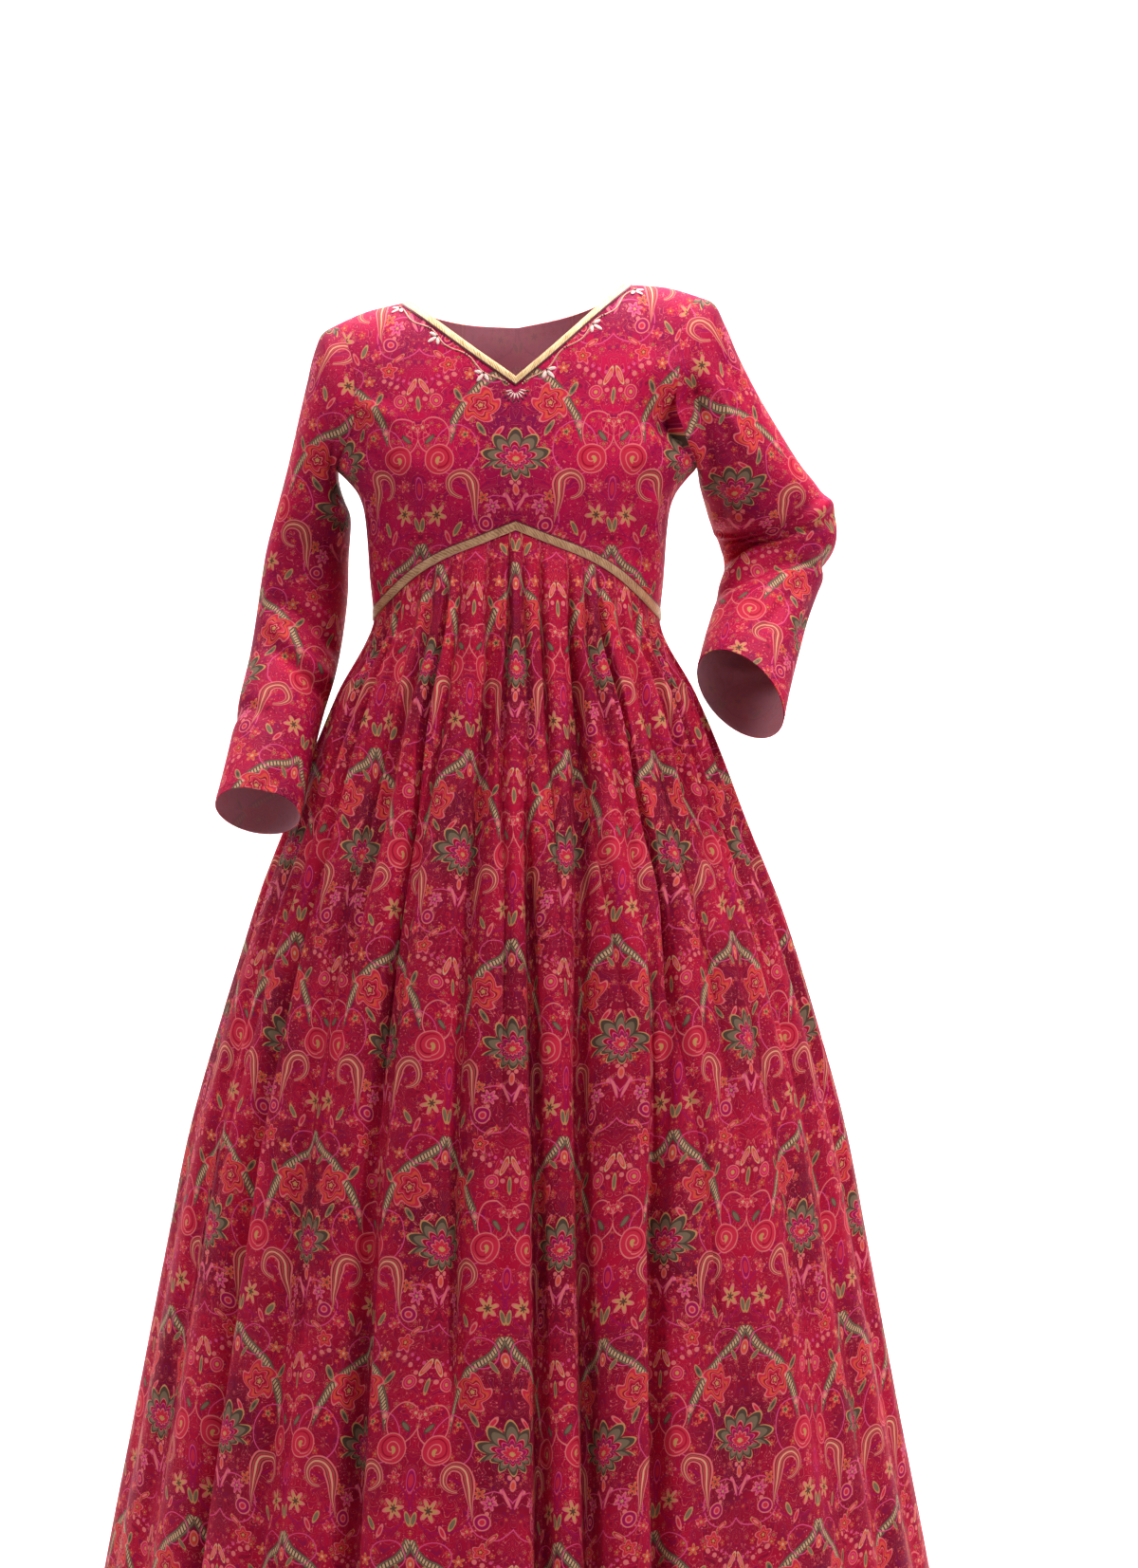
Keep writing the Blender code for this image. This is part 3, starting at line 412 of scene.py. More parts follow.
# %% Sizes of the sleeves
CAP = {  # top x, y, z, underarm x, y, z, depth_front, depth_back, drop
    "left": (
        (0.1900, 0.0000, -0.0035, 0.1900, 0.0000, -0.1840, 0.066, 0.064, 0.010),
        (0.2070, 0.0005, -0.0105, 0.1905, 0.0030, -0.1880, 0.065, 0.063, 0.011),
        (0.2190, 0.0020, -0.0320, 0.1915, 0.0090, -0.1935, 0.063, 0.061, 0.013),
        (0.2330, 0.0060, -0.0640, 0.1930, 0.0190, -0.2015, 0.059, 0.058, 0.017),
        (0.2540, 0.0120, -0.1050, 0.1960, 0.0320, -0.2110, 0.054, 0.054, 0.021),
        (0.2800, 0.0200, -0.1490, 0.2000, 0.0470, -0.2220, 0.049, 0.050, 0.025),
        (0.3060, 0.0280, -0.1890, 0.2040, 0.0615, -0.2330, 0.046, 0.046, 0.0285),
    ),
    "right": (
        (0.1900, 0.0000, -0.0340, 0.1900, 0.0000, -0.1862, 0.066, 0.064, 0.010),
        (0.2045, 0.0003, -0.0425, 0.1905, 0.0010, -0.1905, 0.065, 0.063, 0.009),
        (0.2135, 0.0010, -0.0625, 0.1900, 0.0030, -0.1960, 0.063, 0.062, 0.008),
        (0.2215, 0.0030, -0.0950, 0.1880, 0.0060, -0.2030, 0.061, 0.060, 0.006),
        (0.2310, 0.0070, -0.1350, 0.1850, 0.0100, -0.2110, 0.058, 0.058, 0.004),
        (0.2420, 0.0120, -0.1820, 0.1810, 0.0150, -0.2210, 0.056, 0.056, 0.002),
        (0.2545, 0.0180, -0.2285, 0.1760, 0.0200, -0.2360, 0.054, 0.054, 0.000),
    ),
}
ELBOW = (0.283, 0.088, -0.253)
CUFF = (0.232, -0.067, -0.423)
CUFF_FACES = (-0.58, -0.69, -0.39)
ELBOW_RADIUS = 0.063
ARM_LEFT = (  # length along, half_width, half_depth, outward
    (0.00, 0.0580, 0.0460, 0.0000),
    (0.10, 0.0620, 0.0480, 0.0040),
    (0.19, 0.0630, 0.0490, 0.0080),
    (0.28, 0.0570, 0.0480, 0.0050),
    (0.36, 0.0520, 0.0460, 0.0015),
    (0.60, 0.0500, 0.0440, 0.0000),
    (0.80, 0.0505, 0.0440, 0.0000),
    (1.00, 0.0510, 0.0440, 0.0015),
)
ARM_RIGHT = (  # x, y, z, half_width, half_depth
    (0.2155, 0.020, -0.235, 0.0400, 0.0540),
    (0.2220, 0.026, -0.275, 0.0440, 0.0520),
    (0.2255, 0.027, -0.311, 0.0465, 0.0500),
    (0.2300, 0.020, -0.350, 0.0470, 0.0490),
    (0.2360, 0.000, -0.391, 0.0465, 0.0460),
    (0.2460, -0.030, -0.435, 0.0450, 0.0450),
    (0.2560, -0.069, -0.490, 0.0440, 0.0430),
    (0.2660, -0.108, -0.545, 0.0450, 0.0420),
)
RINGS = 150
HEM_RINGS = 3  # the hem is sewn this many rings above the edge of the cuff
SLEEVE_CREASES = {  # round from the outer line (front is negative), down, to_round, to_down, width, height
    "left": (
        # The hollow at the front of the armhole, and the ridge that falls from the shoulder beside it
        (-0.165, -0.010, -0.105, 0.056, 0.02, -0.013),
        (-0.155, 0.045, -0.120, 0.140, 0.0150, -0.0080),
        (-0.088, 0.030, -0.050, 0.150, 0.0080, 0.0060),
        (-0.062, 0.030, -0.030, 0.120, 0.0090, -0.0030),
        (-0.110, 0.130, -0.040, 0.185, 0.0090, -0.0040),
        # The roll of cloth over the elbow, between two deep creases
        (0.050, 0.238, -0.150, 0.192, 0.009, -0.009),
        (0.120, 0.268, -0.140, 0.224, 0.0120, 0.011),
        (0.085, 0.292, -0.145, 0.246, 0.0095, -0.01),
        (0.080, 0.320, -0.120, 0.275, 0.0090, 0.0030),
        # The forearm
        (-0.030, 0.300, -0.085, 0.400, 0.0090, -0.0040),
        (-0.060, 0.290, -0.110, 0.360, 0.0080, 0.0030),
        (-0.005, 0.330, -0.030, 0.430, 0.0080, -0.0030),
        # Behind the arm
        (0.150, 0.080, 0.050, 0.160, 0.0100, -0.0050),
        (0.140, 0.130, 0.040, 0.200, 0.0100, 0.0040),
        (0.150, 0.190, 0.100, 0.240, 0.0100, -0.0050),
        (0.110, 0.330, 0.040, 0.390, 0.0100, -0.0030),
    ),
    "right": (
        (-0.150, 0.020, -0.100, 0.090, 0.0120, -0.0060),
        (-0.120, 0.060, -0.050, 0.150, 0.0090, 0.0040),
        (-0.145, 0.120, -0.050, 0.190, 0.0090, -0.0045),
        (0.140, 0.060, 0.050, 0.150, 0.0100, -0.0050),
        (0.130, 0.120, 0.040, 0.200, 0.0100, 0.0036),
        (-0.150, 0.245, -0.030, 0.262, 0.0090, -0.0060),
        (-0.150, 0.275, -0.020, 0.285, 0.0100, 0.0050),
        (-0.150, 0.305, -0.040, 0.318, 0.0080, -0.0056),
        (0.120, 0.240, 0.020, 0.290, 0.0100, -0.0035),
        (0.110, 0.280, 0.020, 0.340, 0.0090, 0.0030),
        (-0.080, 0.380, 0.020, 0.440, 0.0090, -0.0035),
        (-0.110, 0.420, -0.060, 0.500, 0.0090, -0.0030),
    ),
}


# %% The sleeves
def cap(table, armhole, turn):
    """Rings from the armhole to the upper arm. The first is the armhole itself."""
    rings = []
    for k, row in enumerate(table):
        top, under = np.array(row[0:3]), np.array(row[3:6])
        front, back, drop = row[6:9]
        middle, half = (top + under) / 2, (top - under) / 2
        forward = np.where(np.sin(turn) >= 0, front, back) * np.sin(turn)
        ring = middle - np.cos(turn)[:, None] * half
        ring[:, 1] -= forward
        ring[:, 2] -= forward / front * drop
        if k == 0:
            first = ring.copy()
        rings.append(ring + (armhole - first) * (1 - k / (len(table) - 1)) ** 2)
    return rings


def ring_at(centre, way, wide, deep, turn):
    """A ring round the arm: its first point is on the body's side, its second quarter in front."""
    across = unit(np.array([1.0, 0.0, 0.0]) - way[0] * way)
    ahead = np.cross(way, across)
    return centre - np.cos(turn)[:, None] * across * wide + np.sin(turn)[:, None] * ahead * deep


def bent_arm(start, turn):
    """Rings down the left sleeve: the upper arm, round the elbow, then forward to the slanted cuff."""
    elbow, cuff = np.array(ELBOW), np.array(CUFF)
    down, forward = unit(elbow - start), unit(cuff - elbow)
    bend = math.acos(float(down @ forward))
    reach = ELBOW_RADIUS * math.tan(bend / 2)
    into, out = elbow - down * reach, elbow + forward * reach
    inward = unit(forward - (forward @ down) * down)
    pivot = into + inward * ELBOW_RADIUS
    stations = []
    for u in (0.14, 0.28, 0.40, 0.52, 0.74, 1.0):
        a = bend * u
        way = math.cos(a) * down + math.sin(a) * inward
        stations.append((pivot - ELBOW_RADIUS * (math.cos(a) * inward - math.sin(a) * down), way))
    for u in (0.25, 0.5, 0.75, 1.0):
        stations.append((out + (cuff - out) * u, forward))
    length = [np.linalg.norm(stations[0][0] - start)]
    for one, two in zip(stations, stations[1:]):
        length.append(length[-1] + np.linalg.norm(two[0] - one[0]))
    rings = []
    faces = unit(np.array(CUFF_FACES))
    for (centre, way), at in zip(stations, length):
        u = at / length[-1]
        ring = ring_at(centre, way, smooth(u, ARM_LEFT, 1), smooth(u, ARM_LEFT, 2), turn)
        ring[:, 0] += smooth(u, ARM_LEFT, 3)
        slant = ease(u, 0.45, 1.0)
        ring = ring + forward * (-((ring - centre) @ faces) / (forward @ faces) * slant)[:, None]
        rings.append(ring)
    front = np.clip(np.sin(turn), 0, 1)[:, None] ** 0.7
    for k, push in ((1, 0.0015), (2, -0.0045), (3, -0.001)):
        rings[k] = rings[k] + (stations[k][0] - rings[k]) * front * (-push / 0.046)
    return rings


def hanging_arm(turn):
    """Rings down the right sleeve, which hangs beside the skirt."""
    table = np.array(ARM_RIGHT)
    ways = unit(np.gradient(table[:, :3], axis=0))
    return [ring_at(row[:3], way, row[3], row[4], turn) for row, way in zip(table, ways)][1:]


def finer(rings, count):
    """Rings evenly spaced along a smooth curve through the given ones."""
    at = run_length(rings.mean(axis=1))
    want = np.linspace(0, at[-1], count)
    low = np.clip(np.searchsorted(at, want, side="right") - 1, 0, len(at) - 2)
    step = (at[1:] - at[:-1])[low][:, None, None]
    u = ((want - at[low]) / (at[1:] - at[:-1])[low])[:, None, None]
    tangent = np.gradient(rings, at, axis=0)
    return (
        rings[low] * (2 * u**3 - 3 * u**2 + 1)
        + tangent[low] * step * (u**3 - 2 * u**2 + u)
        + rings[low + 1] * (3 * u**2 - 2 * u**3)
        + tangent[low + 1] * step * (u**3 - u**2)
    )


FACING_ROUNDS = 6  # rounds of evening out, without which the wall crosses itself inside a sharp crease


def tube_facings(points):
    """Which way each point of a closed tube of rings faces, outwards, evened out with its neighbours."""
    round_it = np.roll(points, -1, axis=1) - np.roll(points, 1, axis=1)
    facings = unit(np.cross(round_it, np.gradient(points, axis=0)))
    middle = points.mean(axis=1, keepdims=True)
    facings = facings if ((points - middle) * facings).sum() > 0 else -facings
    for _ in range(FACING_ROUNDS):
        ends = np.concatenate([facings[:1], facings, facings[-1:]])
        facings = unit(2 * facings + ends[:-2] + ends[2:] + np.roll(facings, 1, axis=1) + np.roll(facings,
            -1, axis=1))
    return facings


def settle(form, flat, rounds=3000):
    """Lays a grid of points flat. Every edge and diagonal is a spring as long as it is on the form, and each point
    goes where its springs pull it, round after round."""
    springs = []
    every, low, high = slice(None), slice(None, -1), slice(1, None)
    for a, b in (((every, low), (every, high)), ((low, every), (high, every)), ((low, low), (high, high)),
        ((low, high), (high, low))):
        springs.append((a, b, np.linalg.norm(form[b] - form[a], axis=-1)))
    for _ in range(rounds):
        move, pulls = np.zeros(flat.shape), np.zeros(flat.shape[:2])
        for a, b, rest in springs:
            gap = flat[b] - flat[a]
            pull = gap * (0.5 - 0.5 * rest / np.maximum(np.linalg.norm(gap, axis=-1), 1e-9))[..., None]
            move[a] += pull
            move[b] -= pull
            pulls[a] += 1
            pulls[b] += 1
        flat = flat + 1.3 * move / pulls[..., None]
    return flat


def flat_cut(closed, first):
    """Where each point of a tube lies on its flat cut, which is open along the first column. first is a start for
    the springs. They work on every few points, and the rest are placed between those."""
    rows = np.linspace(0, closed.shape[0] - 1, 31).round().astype(int)
    columns = np.linspace(0, closed.shape[1] - 1, 25).round().astype(int)
    flat = settle(closed[np.ix_(rows, columns)], first[np.ix_(rows, columns)])
    middle = len(columns) // 2
    flat = flat - flat[0, middle]
    way = unit(flat[-1, middle])
    flat = np.stack([flat @ np.array([-way[1], way[0]]), flat @ way], axis=-1)
    flat *= np.array([np.sign(flat[0, -1, 0] - flat[0, 0, 0]), -1.0])
    between = np.stack([[
        np.interp(np.arange(closed.shape[1]), columns, row[:, k]) for row in flat] for k in (0, 1)], axis=-1)
    full = np.stack([[np.interp(np.arange(closed.shape[0]), rows,
        line[:, k]) for line in between.transpose(1, 0, 2)] for k in (0, 1)], axis=-1)
    return full.transpose(1, 0, 2)


def sleeve(which):
    """A sleeve from its armhole to its cuff, and the line along which its hem is sewn."""
    mirror = np.array([1.0 if which == "left" else -1.0, 1.0, 1.0])
    loops = []
    for points, facings, _, left, right in panels.values():
        line = (left if which == "left" else right)[SIDE_ROWS:, -1]
        loops.append((points[line], facings[line]))
    (front, front_faces), (back, back_faces) = loops
    loop = np.concatenate(
        [[(front[0] + back[0]) / 2], front[1:-1], [(front[-1] + back[-1]) / 2], back[-2:0:-1]])
    facing = np.concatenate([[front_faces[0]], front_faces[1:-1], [front_faces[-1]], back_faces[-2:0:-1]])
    loop, facing = loop * mirror, facing * mirror
    away = unit(np.cross(facing, unit(np.roll(loop, -1, axis=0) - np.roll(loop, 1, axis=0))))
    away *= np.sign(((loop.mean(axis=0) - loop) * away).sum(axis=1))[:, None]
    start = loop + away * SEAM
    turn = np.linspace(0, 2 * math.pi, 2 * ARM_ROWS, endpoint=False)
    table = CAP[which]
    rings = cap(table, start, turn)
    shoulder_end = (np.array(table[-1][0:3]) + np.array(table[-1][3:6])) / 2
    rings += bent_arm(shoulder_end, turn) if which == "left" else hanging_arm(turn)
    points = finer(np.array(rings), RINGS)
    facings = tube_facings(points)
    # Where each point lies on the flat cloth: round the arm from its outer line, and down from the armhole
    closed = np.concatenate([points, points[:, :1]], axis=1)
    round_it = run_length(closed, axis=1)
    round_it = round_it - round_it[:, ARM_ROWS : ARM_ROWS + 1]
    down = (run_length(closed) + run_length(closed.mean(axis=1))[:, None]) / 2
    cloth_at = flat_cut(closed, np.stack([round_it, -down], axis=-1)).reshape(-1, 2)
    ease_in = ease(down[:, :-1], 0.0, 0.016) * (1 - ease(down[:, :-1], down.max() - 0.03, down.max() - 0.005))
    points = points + facings * (creased(round_it[:, :-1], down[:, :-1], SLEEVE_CREASES[which]) * ease_in)[
        ..., None]
    facings = tube_facings(points)
    rows, columns = points.shape[:2]
    index = np.arange(rows * columns).reshape(rows, columns)
    index = np.concatenate([index, index[:, :1]], axis=1)
    cloth_index = np.arange(rows * (columns + 1)).reshape(rows, columns + 1)
    points, facings = points * mirror, facings * mirror
    hem_line = (points[-HEM_RINGS], facings[-HEM_RINGS])
    flat_points, flat_facings = points.reshape(-1, 3), facings.reshape(-1, 3)
    return shell("sleeve_" + which, flat_points, flat_facings, quads(index), cloth_at,
        quads(cloth_index)), hem_line


sleeves, cuff_lines = {}, {}
for which in ("left", "right"):
    sleeves[which], cuff_lines[which] = sleeve(which)

# %% [markdown]
# ## The skirt
#
# The skirt is two wide panels, gathered along the seam under the bust and left to fall. Close to the seam the
# gathers are many and shallow. Lower down a few of them open into deep, narrow valleys, and the cloth between
# them swells into broad ridges. A cloth simulation would fall into folds of its own choice, so here the smooth
# flare of the skirt is set by a table, and each valley is a row with its course, width and depth from top to
# hem.

# %% Sizes of the skirt
HEM = -1.422
SKIRT = (  # height, half_width, front, back, squareness
    (-0.2400, 0.1560, 0.1120, 0.0880, 2.30),
    (-0.3000, 0.1500, 0.1275, 0.0880, 2.30),
    (-0.3460, 0.1510, 0.1420, 0.0880, 2.30),
    (-0.4240, 0.1850, 0.1660, 0.1190, 2.22),
    (-0.4740, 0.2060, 0.1820, 0.1430, 2.16),
    (-0.5520, 0.2360, 0.2070, 0.1760, 2.10),
    (-0.6430, 0.2740, 0.2380, 0.2090, 2.06),
    (-0.7580, 0.3120, 0.2690, 0.2440, 2.03),
    (-0.8880, 0.3490, 0.2980, 0.2750, 2.00),
    (-0.9770, 0.3670, 0.3150, 0.2940, 2.00),
    (-1.1610, 0.4030, 0.3470, 0.3310, 2.00),
    (-1.3390, 0.4380, 0.3770, 0.3660, 2.00),
    (-1.4220, 0.4530, 0.3900, 0.3800, 2.00),
)
GATHERS = 22  # in each panel
PER_GATHER = 20
DOWN_ROWS = 100
GATHER_DEPTH = ((0.0, 0.0), (0.010, 0.0014), (0.030, 0.0036), (0.065, 0.0050), (0.11, 0.0056), (0.17, 0.0052),
                (0.25, 0.0038), (0.35, 0.0020), (0.46, 0.0007), (0.60, 0.0), (1.0, 0.0))  # length down, depth
FOLDS = {  # at_top, at_middle, at_hem, from, to, width_top, width_hem, deep_top, deep_hem, lean
    "front": (
        (-0.095, -0.118, -0.100, 0.08, 0.82, 0.007, 0.009, 0.020, 0.020, 0.2),
        (0.113, 0.098, 0.080, 0.05, 0.32, 0.006, 0.007, 0.012, 0.004, 0.0),
        (0.036, 0.047, 0.046, 0.24, 1.10, 0.005, 0.0105, 0.018, 0.054, 0.3),
        (0.262, 0.146, 0.134, 0.05, 1.10, 0.009, 0.0100, 0.024, 0.054, -0.2),
        (0.345, 0.266, 0.235, 0.34, 1.10, 0.005, 0.0105, 0.010, 0.050, 0.6),
        (0.470, 0.350, 0.262, 0.20, 0.70, 0.007, 0.010, 0.018, 0.012, -0.3),
        (0.450, 0.395, 0.340, 0.08, 0.36, 0.006, 0.009, 0.012, 0.004, 0.0),
        (0.620, 0.550, 0.470, 0.10, 0.42, 0.007, 0.014, 0.010, 0.004, 0.0),
        (0.470, 0.395, 0.365, 0.36, 1.10, 0.030, 0.048, 0.008, 0.014, -0.3),
        (0.600, 0.600, 0.620, 0.34, 1.10, 0.016, 0.030, 0.006, 0.016, 0.3),
        (0.740, 0.730, 0.740, 0.10, 1.10, 0.012, 0.022, 0.008, 0.020, 0.3),
        (0.880, 0.880, 0.880, 0.20, 1.10, 0.014, 0.024, 0.005, 0.014, -0.2),
        (-0.300, -0.285, -0.270, 0.16, 1.10, 0.008, 0.011, 0.014, 0.046, -0.3),
        (-0.450, -0.440, -0.430, 0.10, 1.10, 0.009, 0.020, 0.010, 0.020, 0.3),
        (-0.600, -0.590, -0.580, 0.20, 1.10, 0.009, 0.011, 0.009, 0.042, -0.5),
        (-0.760, -0.750, -0.745, 0.14, 1.10, 0.012, 0.024, 0.008, 0.018, 0.2),
        (-0.900, -0.895, -0.890, 0.24, 1.10, 0.014, 0.024, 0.005, 0.014, -0.2),
    ),
    "back": (
        (-0.880, -0.875, -0.870, 0.20, 1.10, 0.014, 0.024, 0.005, 0.014, 0.2),
        (-0.720, -0.710, -0.715, 0.12, 1.10, 0.009, 0.012, 0.010, 0.038, -0.4),
        (-0.560, -0.555, -0.560, 0.24, 1.10, 0.014, 0.026, 0.006, 0.016, 0.2),
        (-0.420, -0.400, -0.395, 0.08, 1.10, 0.008, 0.010, 0.015, 0.046, 0.4),
        (-0.280, -0.265, -0.240, 0.20, 1.10, 0.012, 0.022, 0.008, 0.020, -0.2),
        (-0.120, -0.110, -0.090, 0.06, 1.10, 0.009, 0.011, 0.018, 0.050, -0.3),
        (0.040, 0.050, 0.065, 0.16, 1.10, 0.012, 0.022, 0.008, 0.020, 0.3),
        (0.180, 0.200, 0.215, 0.07, 1.10, 0.009, 0.011, 0.018, 0.052, 0.5),
        (0.340, 0.365, 0.380, 0.22, 1.10, 0.014, 0.026, 0.006, 0.016, -0.2),
        (0.500, 0.515, 0.530, 0.10, 1.10, 0.009, 0.012, 0.012, 0.044, -0.4),
        (0.680, 0.700, 0.705, 0.18, 1.10, 0.012, 0.024, 0.007, 0.018, 0.2),
        (0.860, 0.870, 0.875, 0.14, 1.10, 0.012, 0.022, 0.006, 0.016, -0.2),
    ),
}


# %% The smooth flare
def flare_table():
    """For a list of heights: how the angle round the skirt runs with the length round it."""
    heights = np.linspace(HEM, -0.24, 240)
    angle = np.linspace(0, math.pi / 2, 361)
    square = 2.0 / smooth(heights, SKIRT, 4)[:, None]
    tables = {}
    for side, column in (("front", 2), ("back", 3)):
        x = smooth(heights, SKIRT, 1)[:, None] * np.sin(angle) ** square
        y = smooth(heights, SKIRT, column)[:, None] * np.cos(angle) ** square
        length = run_length(np.stack([x, y], axis=-1), axis=1)
        share = np.linspace(0, 1, 401)
        angles = np.array([np.interp(share * row[-1], row, angle) for row in length])
        tables[side] = (angles, length[:, -1])
    return heights, tables


HEIGHTS, FLARE = flare_table()


def flare(z, side, at):
    """Points of the skirt's smooth form, which way each faces, and the length of a quarter round it."""
    angles, lengths = FLARE[side]
    row = np.clip(np.interp(z, HEIGHTS, np.arange(len(HEIGHTS))), 0, len(HEIGHTS) - 1.001)
    column = np.clip(np.abs(at), 0, 1) * 400
    column = np.minimum(column, 399.999)
    i, j = row.astype(int), column.astype(int)
    fi, fj = row - i, column - j
    angle = (
        angles[i, j] * (1 - fi) * (1 - fj) + angles[i + 1, j] * fi * (1 - fj)
        + angles[i, j + 1] * (1 - fi) * fj + angles[i + 1, j + 1] * fi * fj
    )
    wide, deep = smooth(z, SKIRT, 1), smooth(z, SKIRT, 2 if side == "front" else 3)
    square = 2.0 / smooth(z, SKIRT, 4)
    angle = np.where(np.abs(at) > 1 - 1e-9, math.pi / 2, angle)
    sine, cosine = np.sin(angle), np.clip(np.cos(angle), 0, 1)
    cosine = np.where(np.abs(at) > 1 - 1e-9, 0.0, cosine)
    x, y = wide * sine**square, deep * cosine**square
    out = np.stack([sine ** (2 - square) / wide, cosine ** (2 - square) / deep], axis=-1)
    out = unit(out)
    sign = np.stack([np.where(at >= 0, 1.0, -1.0), np.full(np.shape(at), -1.0 if side == "front" else 1.0)],
        axis=-1)
    return np.stack([x, y], axis=-1) * sign, out * sign, np.interp(z, HEIGHTS, lengths)


# %% The folds
def courses(side):
    """Where each fold of a panel runs: for every row, its place across, width, depth and lean."""
    downs = np.linspace(0, 1, DOWN_ROWS + 1) ** 1.35
    for top, middle, hem, start, end, w_top, w_hem, d_top, d_hem, lean in FOLDS[side]:
        stop = min(end, 1.0)
        where = smooth(downs, ((start, top), ((start + stop) / 2, middle), (stop, hem)))
        u = np.clip((downs - start) / (stop - start), 0, 1)
        there = ease(downs, start - 0.04, start + 0.10) * (1 - ease(downs, end - 0.14, end))
        yield where, w_top + (w_hem - w_top) * u, (d_top + (d_hem - d_top) * u) * there, lean, there


def drawn_in(at, long, side):
    """Moves the grid's columns closer together at the folds, where the form needs them."""
    shift = np.zeros(at.shape)
    for where, wide, deep, lean, there in courses(side):
        away = at - where[:, None]
        shift -= 0.5 * (there * np.minimum(deep / 0.008, 1))[:,
            None] * away * np.exp(-((away * long / 0.024) ** 2))
    return at + shift * (1 - np.abs(at) ** 8)


def valleys(at, long, side):
    """How far the cloth lies in from the smooth flare. A fold near a side seam reaches round to the other panel."""
    total = np.zeros(at.shape)
    for other in ("front", "back"):
        for where, wide, deep, lean, there in courses(other):
            round_seam = (2 - np.abs(at)) * np.where(at >= 0, 1, -1)
            away = (at if other == side else round_seam) - where[:, None]
            # A fold that leans has one steep wall and one that rises slowly
            u = away * long / (wide[:, None] * np.where(away < 0, 1 - 0.55 * lean, 1 + 0.55 * lean))
            form = deep[:, None] * (0.30 / (1 + (u / 2.4) ** 2) + 0.70 / (1 + u**4))
            total += np.where(np.abs(away) * long < 0.30, form, 0)
    return total


def uneven(number, seed):
    """A fixed number from 0 to 1 for each gather, spread evenly but in no order."""
    return (number * 0.6180339 + seed * 0.3247180) % 1.0


def skirt_grid():
    """The whole skirt as one ring of columns, front then back, from the seam under the bust to the hem. With it
    come each column's place across its panel, and its number in gathers."""
    columns = GATHERS * PER_GATHER
    downs = np.linspace(0, 1, DOWN_ROWS + 1) ** 1.35
    grid = np.zeros((DOWN_ROWS + 1, 2 * columns, 3))
    first_facing = np.zeros((2 * columns, 3))
    places = {}
    for panel, side in enumerate(("front", "back")):
        points, facings, _, left, right = panels[side]
        order = np.concatenate([right[0, :0:-1], left[0]])
        seam, seam_faces = points[order].copy(), facings[order]
        seam[:, 1] += SEAM / 2 if side == "front" else -SEAM / 2
        length = run_length(seam)
        want = np.linspace(0, length[-1], columns + 1)
        top = np.stack([np.interp(want, length, seam[:, k]) for k in range(3)], axis=1)
        facing = unit(np.stack([np.interp(want, length, seam_faces[:, k]) for k in range(3)], axis=1))
        below = np.cross(unit(np.gradient(top, axis=0)), facing)
        below *= np.sign(-below[:, 2:3])
        below[[0, -1], 1] = 0.0
        top = top + unit(below) * SEAM
        j = np.arange(columns + 1)
        at = np.linspace(-1, 1, columns + 1)
        base = flare(top[:, 2], side, at)[0]
        z = top[:, 2] + (HEM - top[:, 2]) * downs[:, None]
        every_at = drawn_in(np.broadcast_to(at, z.shape), flare(z, side, np.broadcast_to(at, z.shape))[2],
            side)
        place, out, long = flare(z, side, every_at)
        place = place + (top[:, :2] - base)[None] * np.exp(-downs / 0.05)[:, None, None]
        # Gathers: no two alike in width, depth or length
        number = j / PER_GATHER + 0.22 * np.sin(j / PER_GATHER * 1.7 + panel) + 0.10 * np.sin(
            j / PER_GATHER * 4.1)
        which = np.floor(number + 0.5)
        fade = 0.75 + 0.9 * uneven(which, panel)
        wave = np.cos(2 * math.pi * number) * (0.65 + 0.7 * uneven(which, panel + 3))
        wave = wave - 0.30 * np.cos(4 * math.pi * number) + 0.16 * np.sin(
            4 * math.pi * number + 6 * uneven(which, 5))
        push = wave[None] * smooth(np.clip(downs[:, None] / fade[None], 0, 1), GATHER_DEPTH)
        push = push - valleys(every_at, long, side) * (downs > 0)[:, None]
        edges = np.concatenate([place + out * push[..., None], z[..., None]], axis=-1)
        edges[0] = top
        pick = j[:-1] if side == "front" else j[:0:-1]
        block = slice(panel * columns, (panel + 1) * columns)
        grid[:, block] = edges[:, pick]
        first_facing[block] = facing[pick]
        places[side] = (every_at, number, long[:, :1])
    facings = tube_facings(grid)
    facings[0] = first_facing
    return grid, facings, places, downs


# %% [markdown]
# The print has to lie on the skirt as it does on gathered cloth: at its true size on every ridge, with the rest
# of the cloth's width hidden in the valleys. So the place on the flat cloth runs with the length round each
# row, and the width that a row has to spare is added in steps, one at the bottom of each valley. Near the seam
# the steps lie between the gathers, and lower down in the folds.

# %% The panels of the skirt
PANEL_TOP, PANEL_HEM = 1.10, 1.74  # width of the cloth in each panel, cut with a flare
STEP_TO_FOLDS = (0.20, 0.52)  # length down over which the steps move from the gathers to the folds


def steps_in_gathers(number):
    """From -1 to 1 across a panel, in a step between every two gathers."""
    stair = np.floor(number) + ease(number % 1.0, 0.41, 0.59)
    return 2 * (stair - stair[0]) / (stair[-1] - stair[0]) - 1


def steps_in_folds(at, long, side):
    """From -1 to 1 across a panel, in a step at every fold, as high as half the way to the folds beside it."""
    rows = sorted(((where, wide, there) for where, wide, deep, lean, there in courses(side)),
        key=lambda row: row[0][-1])
    where = np.array([row[0] for row in rows])
    reach = np.concatenate([-2 - where[:1], where, 2 - where[-1:]])
    share = np.clip(reach[2:] - reach[:-2], 0.02, None) * (np.array([row[2] for row in rows]) + 0.004)
    share = 2 * share / share.sum(axis=0)
    total = np.full(at.shape, -1.0)
    for line, high, (_, wide, _) in zip(where, share, rows):
        half = (0.9 * wide / long[:, 0])[:, None]
        total += high[:, None] * ease((at - line[:, None]) / half, -0.5, 0.5)
    return total


